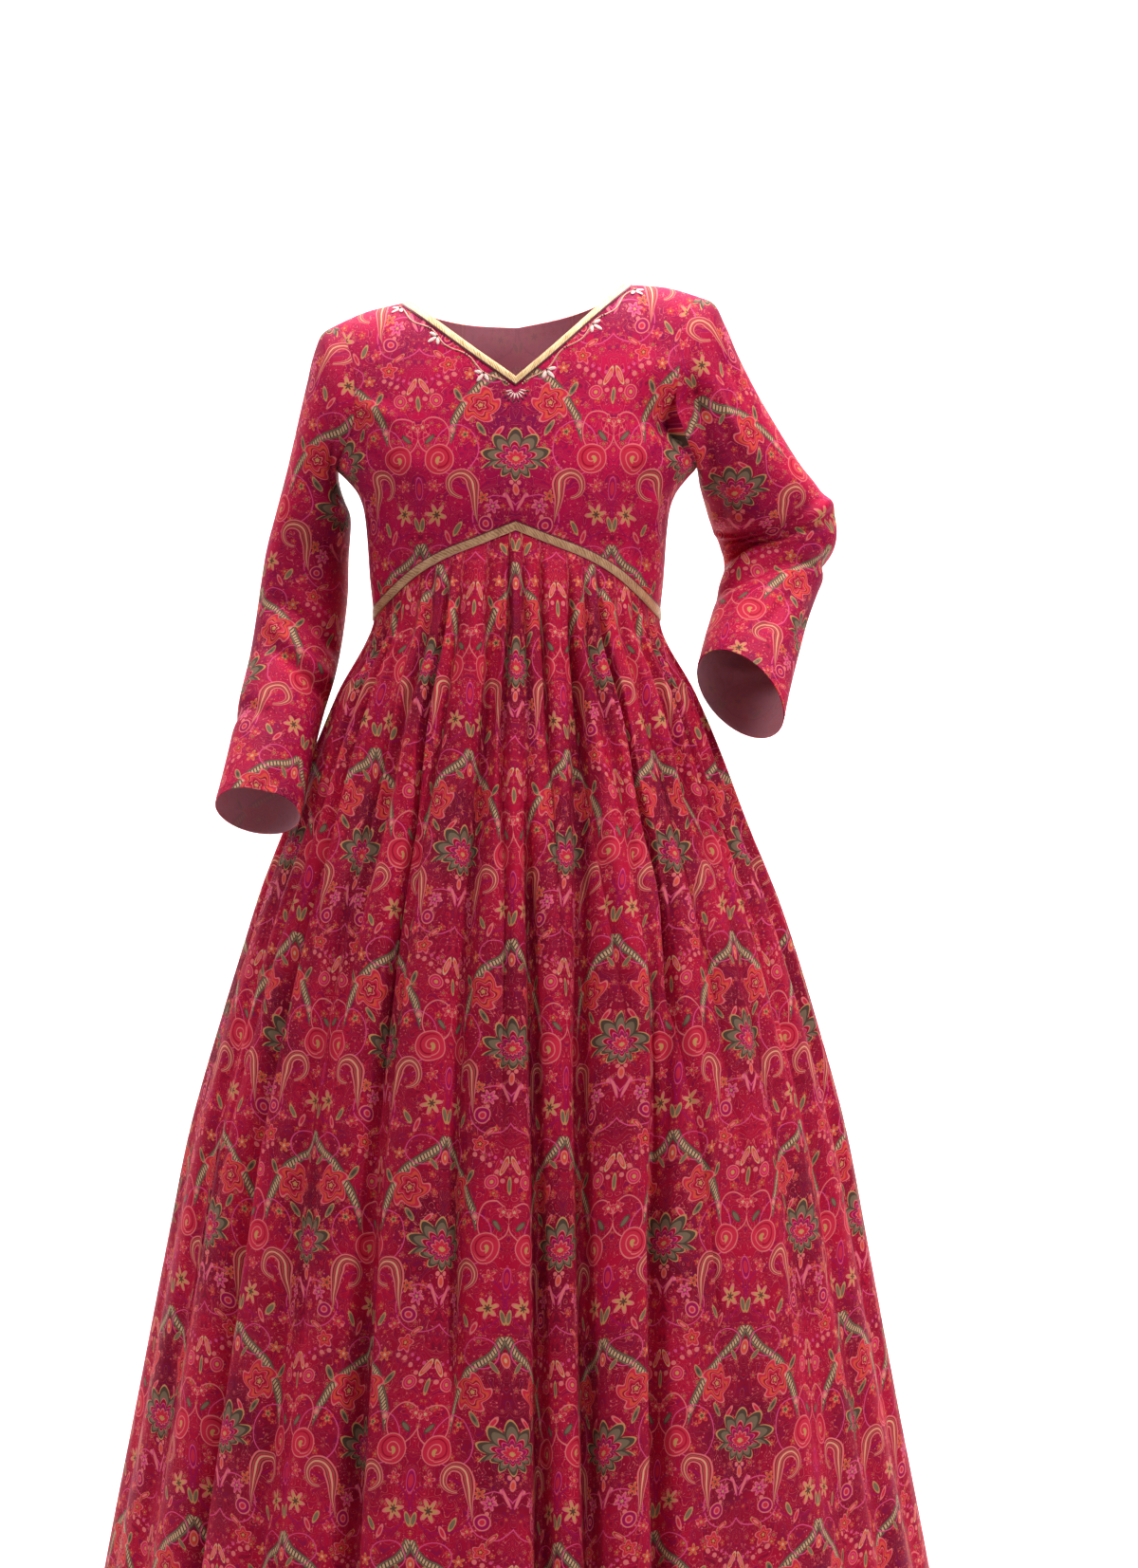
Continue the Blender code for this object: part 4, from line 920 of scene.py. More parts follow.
def skirt_panel(side, grid, facings, places, downs):
    """One panel of the skirt, cut from the ring of columns, with its print placed row by row."""
    columns = GATHERS * PER_GATHER
    pick = (np.arange(columns + 1) + (0 if side == "front" else columns)) % (2 * columns)
    points = grid[:, pick] + np.array([0, -SEAM / 2 if side == "front" else SEAM / 2, 0])
    at, number, long = places[side]
    to_folds = ease(downs, *STEP_TO_FOLDS)[:, None]
    steps = steps_in_gathers(number)[None] * (1 - to_folds) + steps_in_folds(at, long, side) * to_folds
    if side == "back":  # its columns run the other way
        steps = -steps[:, ::-1]
    across = run_length(points, axis=1)
    cut = PANEL_TOP + (PANEL_HEM - PANEL_TOP) * downs[:, None]
    hidden = np.clip(cut - across[:, -1:], 0, None)
    print(f"skirt_{side}: its rows run {across[0, -1]:.2f} m at the seam to {across[-1, -1]:.2f} m at the hem")
    across = across - across[:, columns // 2 : columns // 2 + 1] + steps * hidden / 2
    if side == "back":
        across = -across
    down = points[0, :, 2][None] - run_length(points, axis=0)
    cloth_at = np.stack([across, down], axis=-1).reshape(-1, 2)
    index = np.arange(points.shape[0] * points.shape[1]).reshape(points.shape[:2])
    return shell("skirt_" + side, points.reshape(-1, 3), facings[:, pick].reshape(-1, 3), quads(index),
        cloth_at)


skirt_form = skirt_grid()
skirt = {side: skirt_panel(side, *skirt_form) for side in ("front", "back")}

# %% [markdown]
# ## The gold braid
#
# A narrow zari braid edges the neck, and a wider one hides the front of the seam under the bust. A braid is a
# flat tape, a little thicker along its middle, laid on the panel and sewn through. Each is a strip that starts
# at the panel's edge and is as wide as the tape, folded to a mitre at the point of the V and at the peak.

# %% Braids
BRAID = 0.0011
BRAID_LIFT = 0.0003
NECK_BRAID, WAIST_BRAID = 0.008, 0.0095
BRAID_ROWS = 6


neck_front = edge(NECK["front"], "front", 90)
neck_back = edge(NECK["back"], "back", 60)
waist_front = edge(WAIST["front"], "front", 90)


def tape(name, side, half, width, outward, sides):
    """The tape along half an edge, or along both halves. outward is the way from the edge onto the cloth."""
    way = unit(np.gradient(half, axis=0))
    out = np.stack([-way[:, 1], way[:, 0]], axis=1)
    out *= np.sign((out * np.array(outward)).sum(axis=1))[:, None]
    across = np.linspace(0, 1, BRAID_ROWS + 1)
    flat = half[:, None] + out[:, None] * width * across[None, :, None]
    # The mitre: what would cross the centre line is slid along the tape to lie on it
    for k in range(BRAID_ROWS + 1):
        line = flat[:, k]
        if line[0, 0] > 1e-6:  # short of the centre line: run back to it
            slope = (line[1, 1] - line[0, 1]) / (line[1, 0] - line[0, 0])
            start = np.array([0.0, line[0, 1] - slope * line[0, 0]])
            flat[:, k] = evenly(np.concatenate([[start], line]), len(line))
        elif line[0, 0] < -1e-6:  # past it: cut off there
            keep = line[line[:, 0] > 0]
            slope = (keep[0, 1] - line[0, 1]) / (keep[0, 0] - line[0, 0])
            start = np.array([0.0, keep[0, 1] - slope * keep[0, 0]])
            flat[:, k] = evenly(np.concatenate([[start], keep]), len(line))
    if sides == "right":
        flat = flat * np.array([-1, 1])
    if sides == "both":
        flat = np.concatenate([flat[:0:-1] * np.array([-1, 1]), flat])
    x, z = flat[..., 0], flat[..., 1]
    x = np.clip(x, -smooth(z, TORSO), smooth(z, TORSO))  # it ends at the side seam
    place, facing = on_bodice(x, z, side)
    crown = 1 - 0.5 * np.abs(2 * across - 1) ** 3
    place = place + facing * (BRAID_LIFT + BRAID * crown)[None, :, None]
    place[..., 1] += -SEAM / 2 if side == "front" else SEAM / 2
    long = run_length(place[:, BRAID_ROWS // 2])[:, None]
    cloth_at = np.stack(np.broadcast_arrays(long, across * width), axis=-1).reshape(-1, 2)
    index = np.arange(x.size).reshape(x.shape)
    return shell(name, place.reshape(-1, 3), facing.reshape(-1, 3), quads(index), cloth_at, wall=BRAID * 0.5)


braids = [
    tape("neck_braid_left", "front", neck_front, NECK_BRAID, (1, -1), "left"),
    tape("neck_braid_right", "front", neck_front, NECK_BRAID, (1, -1), "right"),
    tape("neck_braid_back", "back", neck_back, NECK_BRAID, (0, -1), "both"),
    tape("waist_braid", "front", waist_front, WAIST_BRAID, (0, 1), "both"),
]

# %% [markdown]
# ## Stitches and embroidery
#
# The cuffs and the hem are turned up and sewn by machine, which leaves stitches at one pitch all the way round.
# The front of the neck is worked by hand: a couched cord waves along under the braid, with a sprig of three
# leaves in satin stitch at each outer bend, dark glass beads at each inner one, and a small fan under the V.
#
# All of these repeat along a path, so Geometry Nodes make them. Each path is a line of points on the cloth that
# carries the cloth's facing as an attribute, and what is laid on it is turned by that and by the path's own
# direction. Stitches could be modelled one by one, but then none could be moved without moving them all.

# %% Colour and node helpers
def colour(hex_value, alpha=1.0):
    """A linear colour from an sRGB hex value."""
    parts = [int(hex_value[i : i + 2], 16) / 255 for i in (1, 3, 5)]
    return (*(p / 12.92 if p <= 0.04045 else ((p + 0.055) / 1.055) ** 2.4 for p in parts), alpha)


def add(tree, kind, inputs=(), stops=None, **settings):
    """Adds a node. inputs gives, for a socket's name or number, its value or the socket that feeds it. stops are
    a Color Ramp's: where each starts, and its colour (none for no ink)."""
    node = tree.nodes.new(kind if kind.startswith(("Geometry", "Function")) else "ShaderNode" + kind)
    for key, value in settings.items():
        setattr(node, key, value)
    for key, value in dict(inputs).items():
        if isinstance(value, bpy.types.NodeSocket):
            tree.links.new(value, node.inputs[key])
        else:
            node.inputs[key].default_value = value
    if stops:
        elements = node.color_ramp.elements
        while len(elements) < len(stops):
            elements.new(1.0)
        for element, (at, ink) in zip(elements, stops):
            element.position = at
            element.color = colour(ink) if ink else (0.5, 0.1, 0.1, 0.0)
    return node


def work_out(tree, known, rows):
    """Adds a node for each row: the name of its result, its kind, its operation and its inputs, each a number or
    the name of an earlier result."""
    for name, kind, operation, *inputs in rows:
        inputs = {k: known.get(value, value) if isinstance(value, str) else value for k,
            value in enumerate(inputs)}
        node = add(tree, kind, inputs, operation=operation)
        known[name] = node.outputs[
            "Value" if "Value" in node.outputs and node.outputs["Value"].enabled else 0]
    return known


# %% Working along a path
def fresh_tree(name, sizes, threads):
    """An empty Geometry Nodes tree with named inputs for its sizes and for the materials of its threads."""
    tree = bpy.data.node_groups.new(name, "GeometryNodeTree")
    tree.interface.new_socket("Path", in_out="INPUT", socket_type="NodeSocketGeometry")
    for label, value in sizes.items():
        tree.interface.new_socket(label, in_out="INPUT", socket_type="NodeSocketFloat").default_value = value
    for label in threads:
        tree.interface.new_socket(label, in_out="INPUT", socket_type="NodeSocketMaterial")
    tree.interface.new_socket("Work", in_out="OUTPUT", socket_type="NodeSocketGeometry")
    given = tree.nodes.new("NodeGroupInput").outputs
    path = add(tree, "GeometryNodeMeshToCurve", {0: given["Path"]}).outputs[0]
    facing = add(tree, "GeometryNodeInputNamedAttribute", {"Name": "facing"},
        data_type="FLOAT_VECTOR").outputs["Attribute"]
    return tree, given, path, facing


def end_tree(tree, parts):
    """Each part of the work is made real and given its thread, and the tree ends where they join."""
    out = tree.nodes.new("NodeGroupOutput").inputs[0]
    if len(parts) > 1:
        every = tree.nodes.new("GeometryNodeJoinGeometry")
        tree.links.new(every.outputs[0], out)
        out = every.inputs[0]
    for work, thread in parts:
        real = add(tree, "GeometryNodeRealizeInstances", {0: work}).outputs[0]
        tree.links.new(add(tree, "GeometryNodeSetMaterial", {0: real, "Material": thread}).outputs[0], out)
    return tree


def work_along(name, path, facing, tree, closed=False, **values):
    """Runs a tree along a path on the cloth, and returns what it made as a plain mesh piece."""
    count = len(path)
    mesh = bpy.data.meshes.new(name + "_path")
    mesh.from_pydata(path.tolist(), [(k, (k + 1) % count) for k in range(count if closed else count - 1)], [])
    mesh.attributes.new("facing", "FLOAT_VECTOR", "POINT").data.foreach_set("vector",
        facing.astype(np.float32).ravel())
    guide = bpy.data.objects.new(name + "_path", mesh)
    bpy.context.scene.collection.objects.link(guide)
    modifier = guide.modifiers.new("work", "NODES")
    modifier.node_group = tree
    for socket in tree.interface.items_tree:
        if socket.in_out == "INPUT" and socket.name in values:
            modifier[socket.identifier] = values[socket.name]
    made = bpy.data.meshes.new_from_object(guide.evaluated_get(bpy.context.evaluated_depsgraph_get()))
    bpy.data.objects.remove(guide)
    bpy.data.meshes.remove(mesh)
    made.name = name
    made.polygons.foreach_set("use_smooth", np.ones(len(made.polygons), bool))
    piece = bpy.data.objects.new(name, made)
    bpy.context.scene.collection.objects.link(piece)
    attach(piece, "root")
    print(f"{name}: {sum(len(face.vertices) - 2 for face in made.polygons):,} triangles")
    return piece


# %% The tree for a row of stitches
def stitch_tree():
    """One stitch at each pitch. Thread sinks into the cloth at both ends of a stitch, so each is a short bead.
    Turn is the angle between the stitch and the path."""
    sizes = {"Pitch": 0.004, "Long": 0.0028, "Thick": 0.0007, "Turn": 0.0}
    tree, given, path, facing = fresh_tree("row_of_stitches", sizes, ["Thread"])
    places = add(tree, "GeometryNodeCurveToPoints", {"Curve": path, "Length": given["Pitch"]},
        mode="LENGTH").outputs
    turned = add(tree, "FunctionNodeAxesToRotation", {0: facing, 1: places["Tangent"]}, primary_axis="Z",
        secondary_axis="X")
    spin = add(tree, "CombineXYZ", {2: given["Turn"]}).outputs[0]
    spin = add(tree, "FunctionNodeEulerToRotation", {0: spin}).outputs[0]
    turned = add(tree, "FunctionNodeRotateRotation", {0: turned.outputs[0], 1: spin},
        rotation_space="LOCAL").outputs[0]
    bead = add(tree, "GeometryNodeMeshUVSphere", {"Segments": 6, "Rings": 4, "Radius": 0.5}).outputs["Mesh"]
    size = add(tree, "CombineXYZ", {0: given["Long"], 1: given["Thick"], 2: given["Thick"]}).outputs[0]
    row = add(tree, "GeometryNodeInstanceOnPoints",
        {"Points": places["Points"], "Instance": bead, "Rotation": turned, "Scale": size})
    return end_tree(tree, [(row.outputs[0], given["Thread"])])


# %% The tree for the vine
def vine_tree():
    """A cord that waves along a path, with a sprig at each outer bend and beads at each inner one. Side is the
    way out, 1 or -1, and First is how far along the first sprig is."""
    sizes = {"Wave": 0.052, "Height": 0.0026, "First": 0.030, "Cord": 0.0009, "Leaf": 0.0112, "Bead": 0.0024,
        "Side": 1.0}
    tree, given, path, facing = fresh_tree("embroidered_vine", sizes, ["Cord thread", "Leaf thread", "Glass"])
    # The wave: outwards by height times the cosine of how far along, which is 1 at the sprigs
    path = add(tree, "GeometryNodeResampleCurve", {"Curve": path, "Length": 0.0015}, mode="LENGTH").outputs[0]
    tangent = add(tree, "GeometryNodeInputTangent").outputs[0]
    along = add(tree, "GeometryNodeSplineParameter").outputs["Length"]
    known = work_out(tree, {"facing": facing, "tangent": tangent, "along": along, "first": given["First"],
                            "wave": given["Wave"], "height": given["Height"], "side": given["Side"]}, (
        ("way", "VectorMath", "CROSS_PRODUCT", "facing", "tangent"),
        ("past", "Math", "SUBTRACT", "along", "first"),
        ("turns", "Math", "DIVIDE", "past", "wave"),
        ("angle", "Math", "MULTIPLY", "turns", 2 * math.pi),
        ("bend", "Math", "COSINE", "angle"),
        ("out", "Math", "MULTIPLY", "bend", "height"),
        ("signed", "Math", "MULTIPLY", "out", "side"),
    ))
    offset = add(tree, "VectorMath", {0: known["way"], 3: known["signed"]}, operation="SCALE").outputs[0]
    waved = add(tree, "GeometryNodeSetPosition", {"Geometry": path, "Offset": offset}).outputs[0]
    round_cord = add(tree, "GeometryNodeCurvePrimitiveCircle",
        {"Resolution": 6, "Radius": given["Cord"]}).outputs[0]
    cord = add(tree, "GeometryNodeCurveToMesh", {"Curve": waved, "Profile Curve": round_cord}).outputs[0]
    parts = [(cord, given["Cord thread"])]
    # A leaf is a flat bead of satin stitch, and a sprig is three of them turned out from one point
    bead = add(tree, "GeometryNodeMeshUVSphere", {"Segments": 8, "Rings": 6, "Radius": 0.5}).outputs["Mesh"]
    leaves = []
    for degrees, long in ((-62, 0.85), (0, 1.0), (62, 0.85)):
        turn = math.radians(degrees)
        leaves.append(add(tree, "GeometryNodeTransform", {
            "Geometry": bead, "Translation": (math.sin(turn) * 0.62 * long, math.cos(turn) * 0.62 * long,
                0.0),
            "Rotation": (0, 0, -turn), "Scale": (0.38, long, 0.16)}).outputs[0])
    sprig = tree.nodes.new("GeometryNodeJoinGeometry")
    for leaf in leaves:
        tree.links.new(leaf, sprig.inputs[0])
    pair = tree.nodes.new("GeometryNodeJoinGeometry")
    for shift in (-0.65, 0.65):
        one = add(tree, "GeometryNodeTransform",
            {"Geometry": bead, "Translation": (shift, 0.0, 0.0)}).outputs[0]
        tree.links.new(one, pair.inputs[0])
    for thing, share, scale, thread in (
        (sprig.outputs[0], 0.0, given["Leaf"], given["Leaf thread"]),
        (bead, 0.0, given["Bead"], given["Glass"]),
        (pair.outputs[0], 0.5, given["Bead"], given["Glass"]),
    ):
        start = add(tree, "Math", {0: given["Wave"], 1: -share, 2: given["First"]},
            operation="MULTIPLY_ADD").outputs[0]
        # Inputs 4 and 5 are the two lengths that the path is cut to
        rest = add(tree, "GeometryNodeTrimCurve", {0: waved, 4: start, 5: 10.0}, mode="LENGTH")
        places = add(tree, "GeometryNodeCurveToPoints", {"Curve": rest.outputs[0], "Length": given["Wave"]},
            mode="LENGTH").outputs
        out = add(tree, "VectorMath", {0: facing, 1: places["Tangent"]}, operation="CROSS_PRODUCT").outputs[0]
        out = add(tree, "VectorMath", {0: out, 3: given["Side"]}, operation="SCALE").outputs[0]
        turned = add(tree, "FunctionNodeAxesToRotation", {0: facing, 1: out}, primary_axis="Z",
            secondary_axis="Y").outputs[0]
        laid = add(tree, "GeometryNodeInstanceOnPoints",
            {"Points": places["Points"], "Instance": thing, "Rotation": turned, "Scale": scale})
        parts.append((laid.outputs[0], thread))
    return end_tree(tree, parts)


# %% Threads and beads
def thread_finish(name, shadow, light, rough, strand_mm):
    """Thread is many fine filaments laid side by side. They bump it in fine lines, and those lines are painted in
    bands from a shaded tone to a lit one: painted shade and a painted lustre along them.
    """
    material = bpy.data.materials.new(name)
    material.use_nodes = True
    tree = material.node_tree
    shader = tree.nodes["Principled BSDF"]
    place = add(tree, "TexCoord").outputs["Object"]
    strands = add(tree, "TexWave", {"Vector": place, "Scale": 100.0 / strand_mm, "Distortion": 3.0},
        bands_direction="DIAGONAL")
    # Painted shade and painted lustre: each strand's colour runs from the shaded tone to the lit one
    tone = add(tree, "ValToRGB", {0: strands.outputs["Fac"]}, stops=[(0.25, shadow), (0.75, light)])
    tree.links.new(tone.outputs[0], shader.inputs["Base Color"])
    bump = add(tree, "Bump", {"Height": strands.outputs["Fac"], "Strength": 0.4, "Distance": 0.0002})
    tree.links.new(bump.outputs[0], shader.inputs["Normal"])
    shader.inputs["Roughness"].default_value = rough
    return material


sewing_thread = thread_finish("polyester_sewing_thread", "#7A0F30", "#A82048", 0.50, 0.4)
cord_thread = thread_finish("couched_silk_cord", "#B06A58", "#E0A48C", 0.45, 0.5)
satin_stitch = thread_finish("satin_stitched_floss", "#D8A8A0", "#F4DCD4", 0.40, 0.4)
# Glass beads with a dark core: smooth, so each shows one small bright highlight
glass_bead = bpy.data.materials.new("dark_glass_beads")
glass_bead.use_nodes = True
tree = glass_bead.node_tree
shader = tree.nodes["Principled BSDF"]
cloudy = add(tree, "TexNoise", {"Vector": add(tree, "TexCoord").outputs["Object"], "Scale": 400.0}).outputs[0]
tone = add(tree, "ValToRGB", {0: cloudy}, stops=[(0.35, "#3A1420"), (0.65, "#5C2A34")])
tree.links.new(tone.outputs[0], shader.inputs["Base Color"])
shader.inputs["Roughness"].default_value = 0.15

# %% Sewing the hems
LIFT = 0.0002  # thread lies just over the cloth
STITCHES, VINE = stitch_tree(), vine_tree()
for which, (line, facing) in cuff_lines.items():
    work_along("cuff_stitches_" + which, line + facing * LIFT, facing, STITCHES, closed=True,
        Thread=sewing_thread)
HEM_SHARE = 0.6  # of the way from the last row of the skirt but one, down to its edge
grid, facings = skirt_form[:2]
line = grid[-2] + (grid[-1] - grid[-2]) * HEM_SHARE
work_along("hem_stitches", line + facings[-2] * LIFT, facings[-2], STITCHES, closed=True,
    Thread=sewing_thread)

# %% Embroidery on the neck
VINE_FROM_EDGE = 0.0130
FAN_AT, FAN_RADIUS = -0.1095, 0.0075  # height of the point that it opens from, and length of its petals


def on_front(flat):
    """Points of x and height laid on the front of the bodice, with their facings."""
    place, facing = on_bodice(flat[:, 0], flat[:, 1], "front")
    return place + facing * LIFT - np.array([0, SEAM / 2, 0]), facing


way = unit(np.gradient(neck_front, axis=0))
beside = neck_front + np.stack([way[:, 1], -way[:, 0]], axis=1) * VINE_FROM_EDGE
beside = evenly(beside[(beside[:, 0] > 0.002) & (beside[:, 1] < -0.004)], 120)
for which, sign in (("left", 1), ("right", -1)):
    line, facing = on_front(beside * np.array([sign, 1]))
    work_along("neck_vine_" + which, line, facing, VINE, Side=-float(sign), **{
        "Cord thread": cord_thread, "Leaf thread": satin_stitch, "Glass": glass_bead})
angle = np.radians(np.linspace(-78, 78, 60))
for name, radius, pitch, long, thick, thread in (
    ("neck_fan_petals", FAN_RADIUS, 0.0028, 0.0080, 0.0018, satin_stitch),
    ("neck_fan_tips", FAN_RADIUS + 0.0052, 0.0048, 0.0030, 0.0022, glass_bead),
):
    line, facing = on_front(np.stack([np.sin(angle) * radius, FAN_AT - np.cos(angle) * radius], axis=1))
    work_along(name, line, facing, STITCHES, Thread=thread, Pitch=pitch, Long=long,
        Thick=thick, Turn=math.pi / 2)

# %% [markdown]
# ## The print
#
# The cloth is screen printed with a jaal, the net of flowers that Mughal weavers and printers have used for
# centuries: a lotus under a roped arch, roses, hooked paisleys, small flowers and sprigs of dots, the same on
# both sides of an upright axis. The net is half a repeat lower on every second axis.
#
# A printer cuts one screen and repeats it, and the nodes do the same. First the place on the cloth is folded
# into one small block, 102 by 200 mm. Then each motif is drawn there once, in millimetres, as a few rings of
# flat colour round its own middle, and a Color Ramp holds the rings as the printer's palette would. An image
# would be quicker to render, but nodes stay sharp close up and their sizes can be changed.

# %% The inks
INK = {
    "olive": "#735E4C", "dark": "#4C3B33", "gold": "#BC8454", "cream": "#C69C7A", "salmon": "#D2686A",
    "pink": "#CC4476", "rose": "#C2243E", "orange": "#CC4838", "red": "#940A26", "magenta": "#98084A",
    "plum": "#740A44", "wine": "#62062A",
}
BLOCK = (102.0, 200.0)  # mm, from one axis to the next, and half the repeat down
BLOCK_FROM = -92.0  # mm, its lower edge under the lotus


def rings(*pairs):
    """A Color Ramp's stops from pairs of a radius (1 is the motif's edge) and an ink, over radii 0 to 1.25."""
    return [(radius / 1.25, INK.get(ink)) for radius, ink in pairs]


# %% [markdown]
# Each row below is a motif: where its middle lies in the block, how it is turned, its half width and half
# height, how many petals it has and how deep they are cut, and its rings of ink from the middle outwards. A
# motif on x = 0 or x = 102 lies on an axis, so the fold makes its other half.

# %% Motifs
MOTIFS = (  # x, y, turn, half_width, half_height, petals, petal_depth, rings
    # Thin vines, as circles whose far side other motifs cover
    (62, 6, 0, 24, 27, 0, 0, rings((0, None), (0.955, "pink"), (1.0, None))),
    (20, -66, 0, 25, 24, 0, 0, rings((0, None), (0.95, "pink"), (1.0, None))),
    (86, 22, 0, 17, 21, 0, 0, rings((0, None), (0.93, "salmon"), (1.0, None))),
    (70, -58, 0, 31, 27, 0, 0, rings((0, None), (0.96, "magenta"), (1.02, None))),
    (24, 92, 0, 19, 15, 0, 0, rings((0, None), (0.93, "pink"), (1.0, None))),
    (102, -34, 0, 4.5, 12, 0, 0, rings((0, "rose"), (0.55, "magenta"), (0.85, "pink"), (1.0, None))),
    # Buds and leaves
    (0, 86, 0, 4.5, 7.5, 0, 0, rings((0, "cream"), (0.3, "orange"), (0.75, "salmon"), (1.0, None))),
    (12, 79, -40, 2.2, 6.5, 0, 0, rings((0, "olive"), (0.8, "gold"), (1.0, None))),
    (90, 18, 40, 2.6, 7.0, 0, 0, rings((0, "olive"), (0.75, "dark"), (1.0, None))),
    (60, 66, -30, 3.0, 8.0, 0, 0, rings((0, "dark"), (0.45, "olive"), (0.8, "gold"), (1.0, None))),
    (22, -88, 55, 2.6, 7.5, 0, 0, rings((0, "salmon"), (0.5, "rose"), (0.85, "gold"), (1.0, None))),
    (66, 28, 20, 3.4, 3.4, 0, 0, rings((0, "cream"), (0.4, "salmon"), (1.0, None))),
    (96, 78, -26, 2.9, 10.0, 0, 0, rings((0, "salmon"), (0.5, "orange"), (0.8, "cream"), (1.0, None))),
    (102, 58, 0, 2.2, 9.0, 0, 0, rings((0, "olive"), (0.7, "gold"), (1.0, None))),
    (6, -49, -24, 1.9, 11.0, 0, 0, rings((0, "salmon"), (0.75, "pink"), (1.0, None))),
    (0, -36, 0, 3.2, 6.0, 0, 0, rings((0, "orange"), (0.6, "salmon"), (1.0, None))),
    (60, -76, 30, 2.8, 8.0, 0, 0, rings((0, "olive"), (0.7, "gold"), (1.0, None))),
    (70, -84, -24, 2.6, 7.5, 0, 0, rings((0, "rose"), (0.6, "salmon"), (1.0, None))),
    (99, -72, 14, 2.6, 8.0, 0, 0, rings((0, "olive"), (0.7, "gold"), (1.0, None))),
    (17, 24, 42, 2.6, 8.0, 0, 0, rings((0, "rose"), (0.6, "salmon"), (1.0, None))),
    (35, 27, -34, 2.8, 8.5, 0, 0, rings((0, "dark"), (0.4, "olive"), (0.8, "gold"), (1.0, None))),
    (31, -72, 0, 8.0, 8.0, 0, 0,
        rings((0, "rose"), (0.30, "salmon"), (0.46, "magenta"), (0.84, "salmon"), (1.0, None))),
    (83, 62, 0, 7.5, 7.5, 0, 0,
        rings((0, "gold"), (0.26, "rose"), (0.50, "pink"), (0.64, "rose"), (0.86, "salmon"), (1.0, None))),
    # Small flowers
    (24, -54, 10, 8.5, 8.5, 6, 0.26,
        rings((0, "gold"), (0.22, "magenta"), (0.44, "pink"), (0.82, "salmon"), (1.0, None))),
    (52, 22, 0, 8.0, 8.0, 5, 0.28,
        rings((0, "dark"), (0.28, "gold"), (0.50, "rose"), (0.80, "orange"), (1.0, None))),
    (84, -32, 30, 7.0, 7.0, 5, 0.30, rings((0, "gold"), (0.26, "rose"), (0.80, "salmon"), (1.0, None))),
    (34, -44, 0, 6.5, 6.5, 5, 0.30, rings((0, "dark"), (0.30, "orange"), (0.84, "gold"), (1.0, None))),
    (70, 99, 10, 9.5, 9.5, 5, 0.20,
        rings((0, "gold"), (0.18, "red"), (0.36, "orange"), (0.56, "rose"), (0.86, "salmon"), (1.0, None))),
    (84, -62, 12, 12.0, 12.0, 6, 0.30,
        rings((0, "dark"), (0.26, "red"), (0.36, "gold"), (0.78, "salmon"), (1.0, None))),
    (46, -82, 0, 6.5, 6.5, 5, 0.30, rings((0, "gold"), (0.3, "rose"), (0.9, "salmon"), (1.0, None))),
    (97, 32, 20, 7.0, 7.0, 5, 0.30, rings((0, "cream"), (0.3, "rose"), (0.82, "salmon"), (1.0, None))),
    (49, 88, 20, 6.5, 6.5, 5, 0.30, rings((0, "cream"), (0.3, "orange"), (0.85, "gold"), (1.0, None))),
    # Roses
    (36, 53, 20, 21.5, 21.5, 5, 0.16, rings(
        (0, "gold"), (0.12, "red"), (0.22, "salmon"), (0.28, "red"), (0.40, "rose"), (0.54, "salmon"),
            (0.58, "red"),
        (0.66, "orange"), (0.80, "rose"), (0.93, "salmon"), (1.0, None))),
)
# %% [markdown]
# Four motifs aren't rings round a middle, so each has its own sums. The lotus is a fan of pointed petals: the
# ring that bounds it moves in and out with the angle. The hooked paisley is a bent drop: a ring that grows
# thicker as it comes round, and then a tail that thins to a point. The arch is a rope laid along an S-curve,
# and the dots of the sprig are one dot repeated along a curve.

# %% Sums of the lotus, the paisley, the fruit, the arch and the dots
LOTUS = (  # x and y are measured from the lotus's middle
    ("r", "VectorMath", "LENGTH", "place"),
    ("angle", "Math", "ARCTAN2", "x", "y"),
    ("petal", "Math", "PINGPONG", "angle", 0.31416),
    ("point", "Math", "POWER", "petal", 1.6),
    ("reach", "Math", "MULTIPLY_ADD", "point", -2.3, 1.0),
    ("low", "Math", "GREATER_THAN", "angle", 1.8),
    ("shrink", "Math", "MULTIPLY_ADD", "low", -0.36, 1.0),
    ("edge", "Math", "MULTIPLY", "reach", "shrink"),
    ("at", "Math", "DIVIDE", "r", "edge"),
    ("split", "Math", "GREATER_THAN", "petal", 0.275),
)
PAISLEY = (  # from the middle of the curl: a ring of radius 12, then a tail down from its inner side
    ("r", "VectorMath", "LENGTH", "place"),
    ("off_ring", "Math", "SUBTRACT", "r", 12.5),
    ("angle", "Math", "ARCTAN2", "y", "x"),
    ("ring_wide", "Math", "MULTIPLY_ADD", "angle", 1.15, 3.3),
    ("tail_line", "Math", "MULTIPLY_ADD", "y", 0.12, -12.5),
    ("off_tail", "Math", "SUBTRACT", "x", "tail_line"),
    ("tail_wide", "Math", "MULTIPLY_ADD", "y", 0.175, 6.9),
    ("left", "Math", "LESS_THAN", "x", -1.0),
    ("under", "Math", "LESS_THAN", "y", 0.0),
    ("tail", "Math", "MULTIPLY", "left", "under"),
    ("off_gap", "Math", "SUBTRACT", "off_tail", "off_ring"),
    ("off", "Math", "MULTIPLY_ADD", "off_gap", "tail", "off_ring"),
    ("wide_gap", "Math", "SUBTRACT", "tail_wide", "ring_wide"),
    ("wide_any", "Math", "MULTIPLY_ADD", "wide_gap", "tail", "ring_wide"),
    ("wide", "Math", "MAXIMUM", "wide_any", 0.05),
    ("share", "Math", "DIVIDE", "off", "wide"),
    ("at", "Math", "ABSOLUTE", "share"),
)
FRUIT = (  # a round fruit with a hooked seed inside: rings that run inwards with the angle
    ("r", "VectorMath", "LENGTH", "place"),
    ("angle", "Math", "ARCTAN2", "y", "x"),
    ("spiral", "Math", "MULTIPLY_ADD", "angle", 0.075, "r"),
    ("whole", "Math", "LESS_THAN", "r", 0.80),
    ("gap", "Math", "SUBTRACT", "spiral", "r"),
    ("at", "Math", "MULTIPLY_ADD", "gap", "whole", "r"),
)
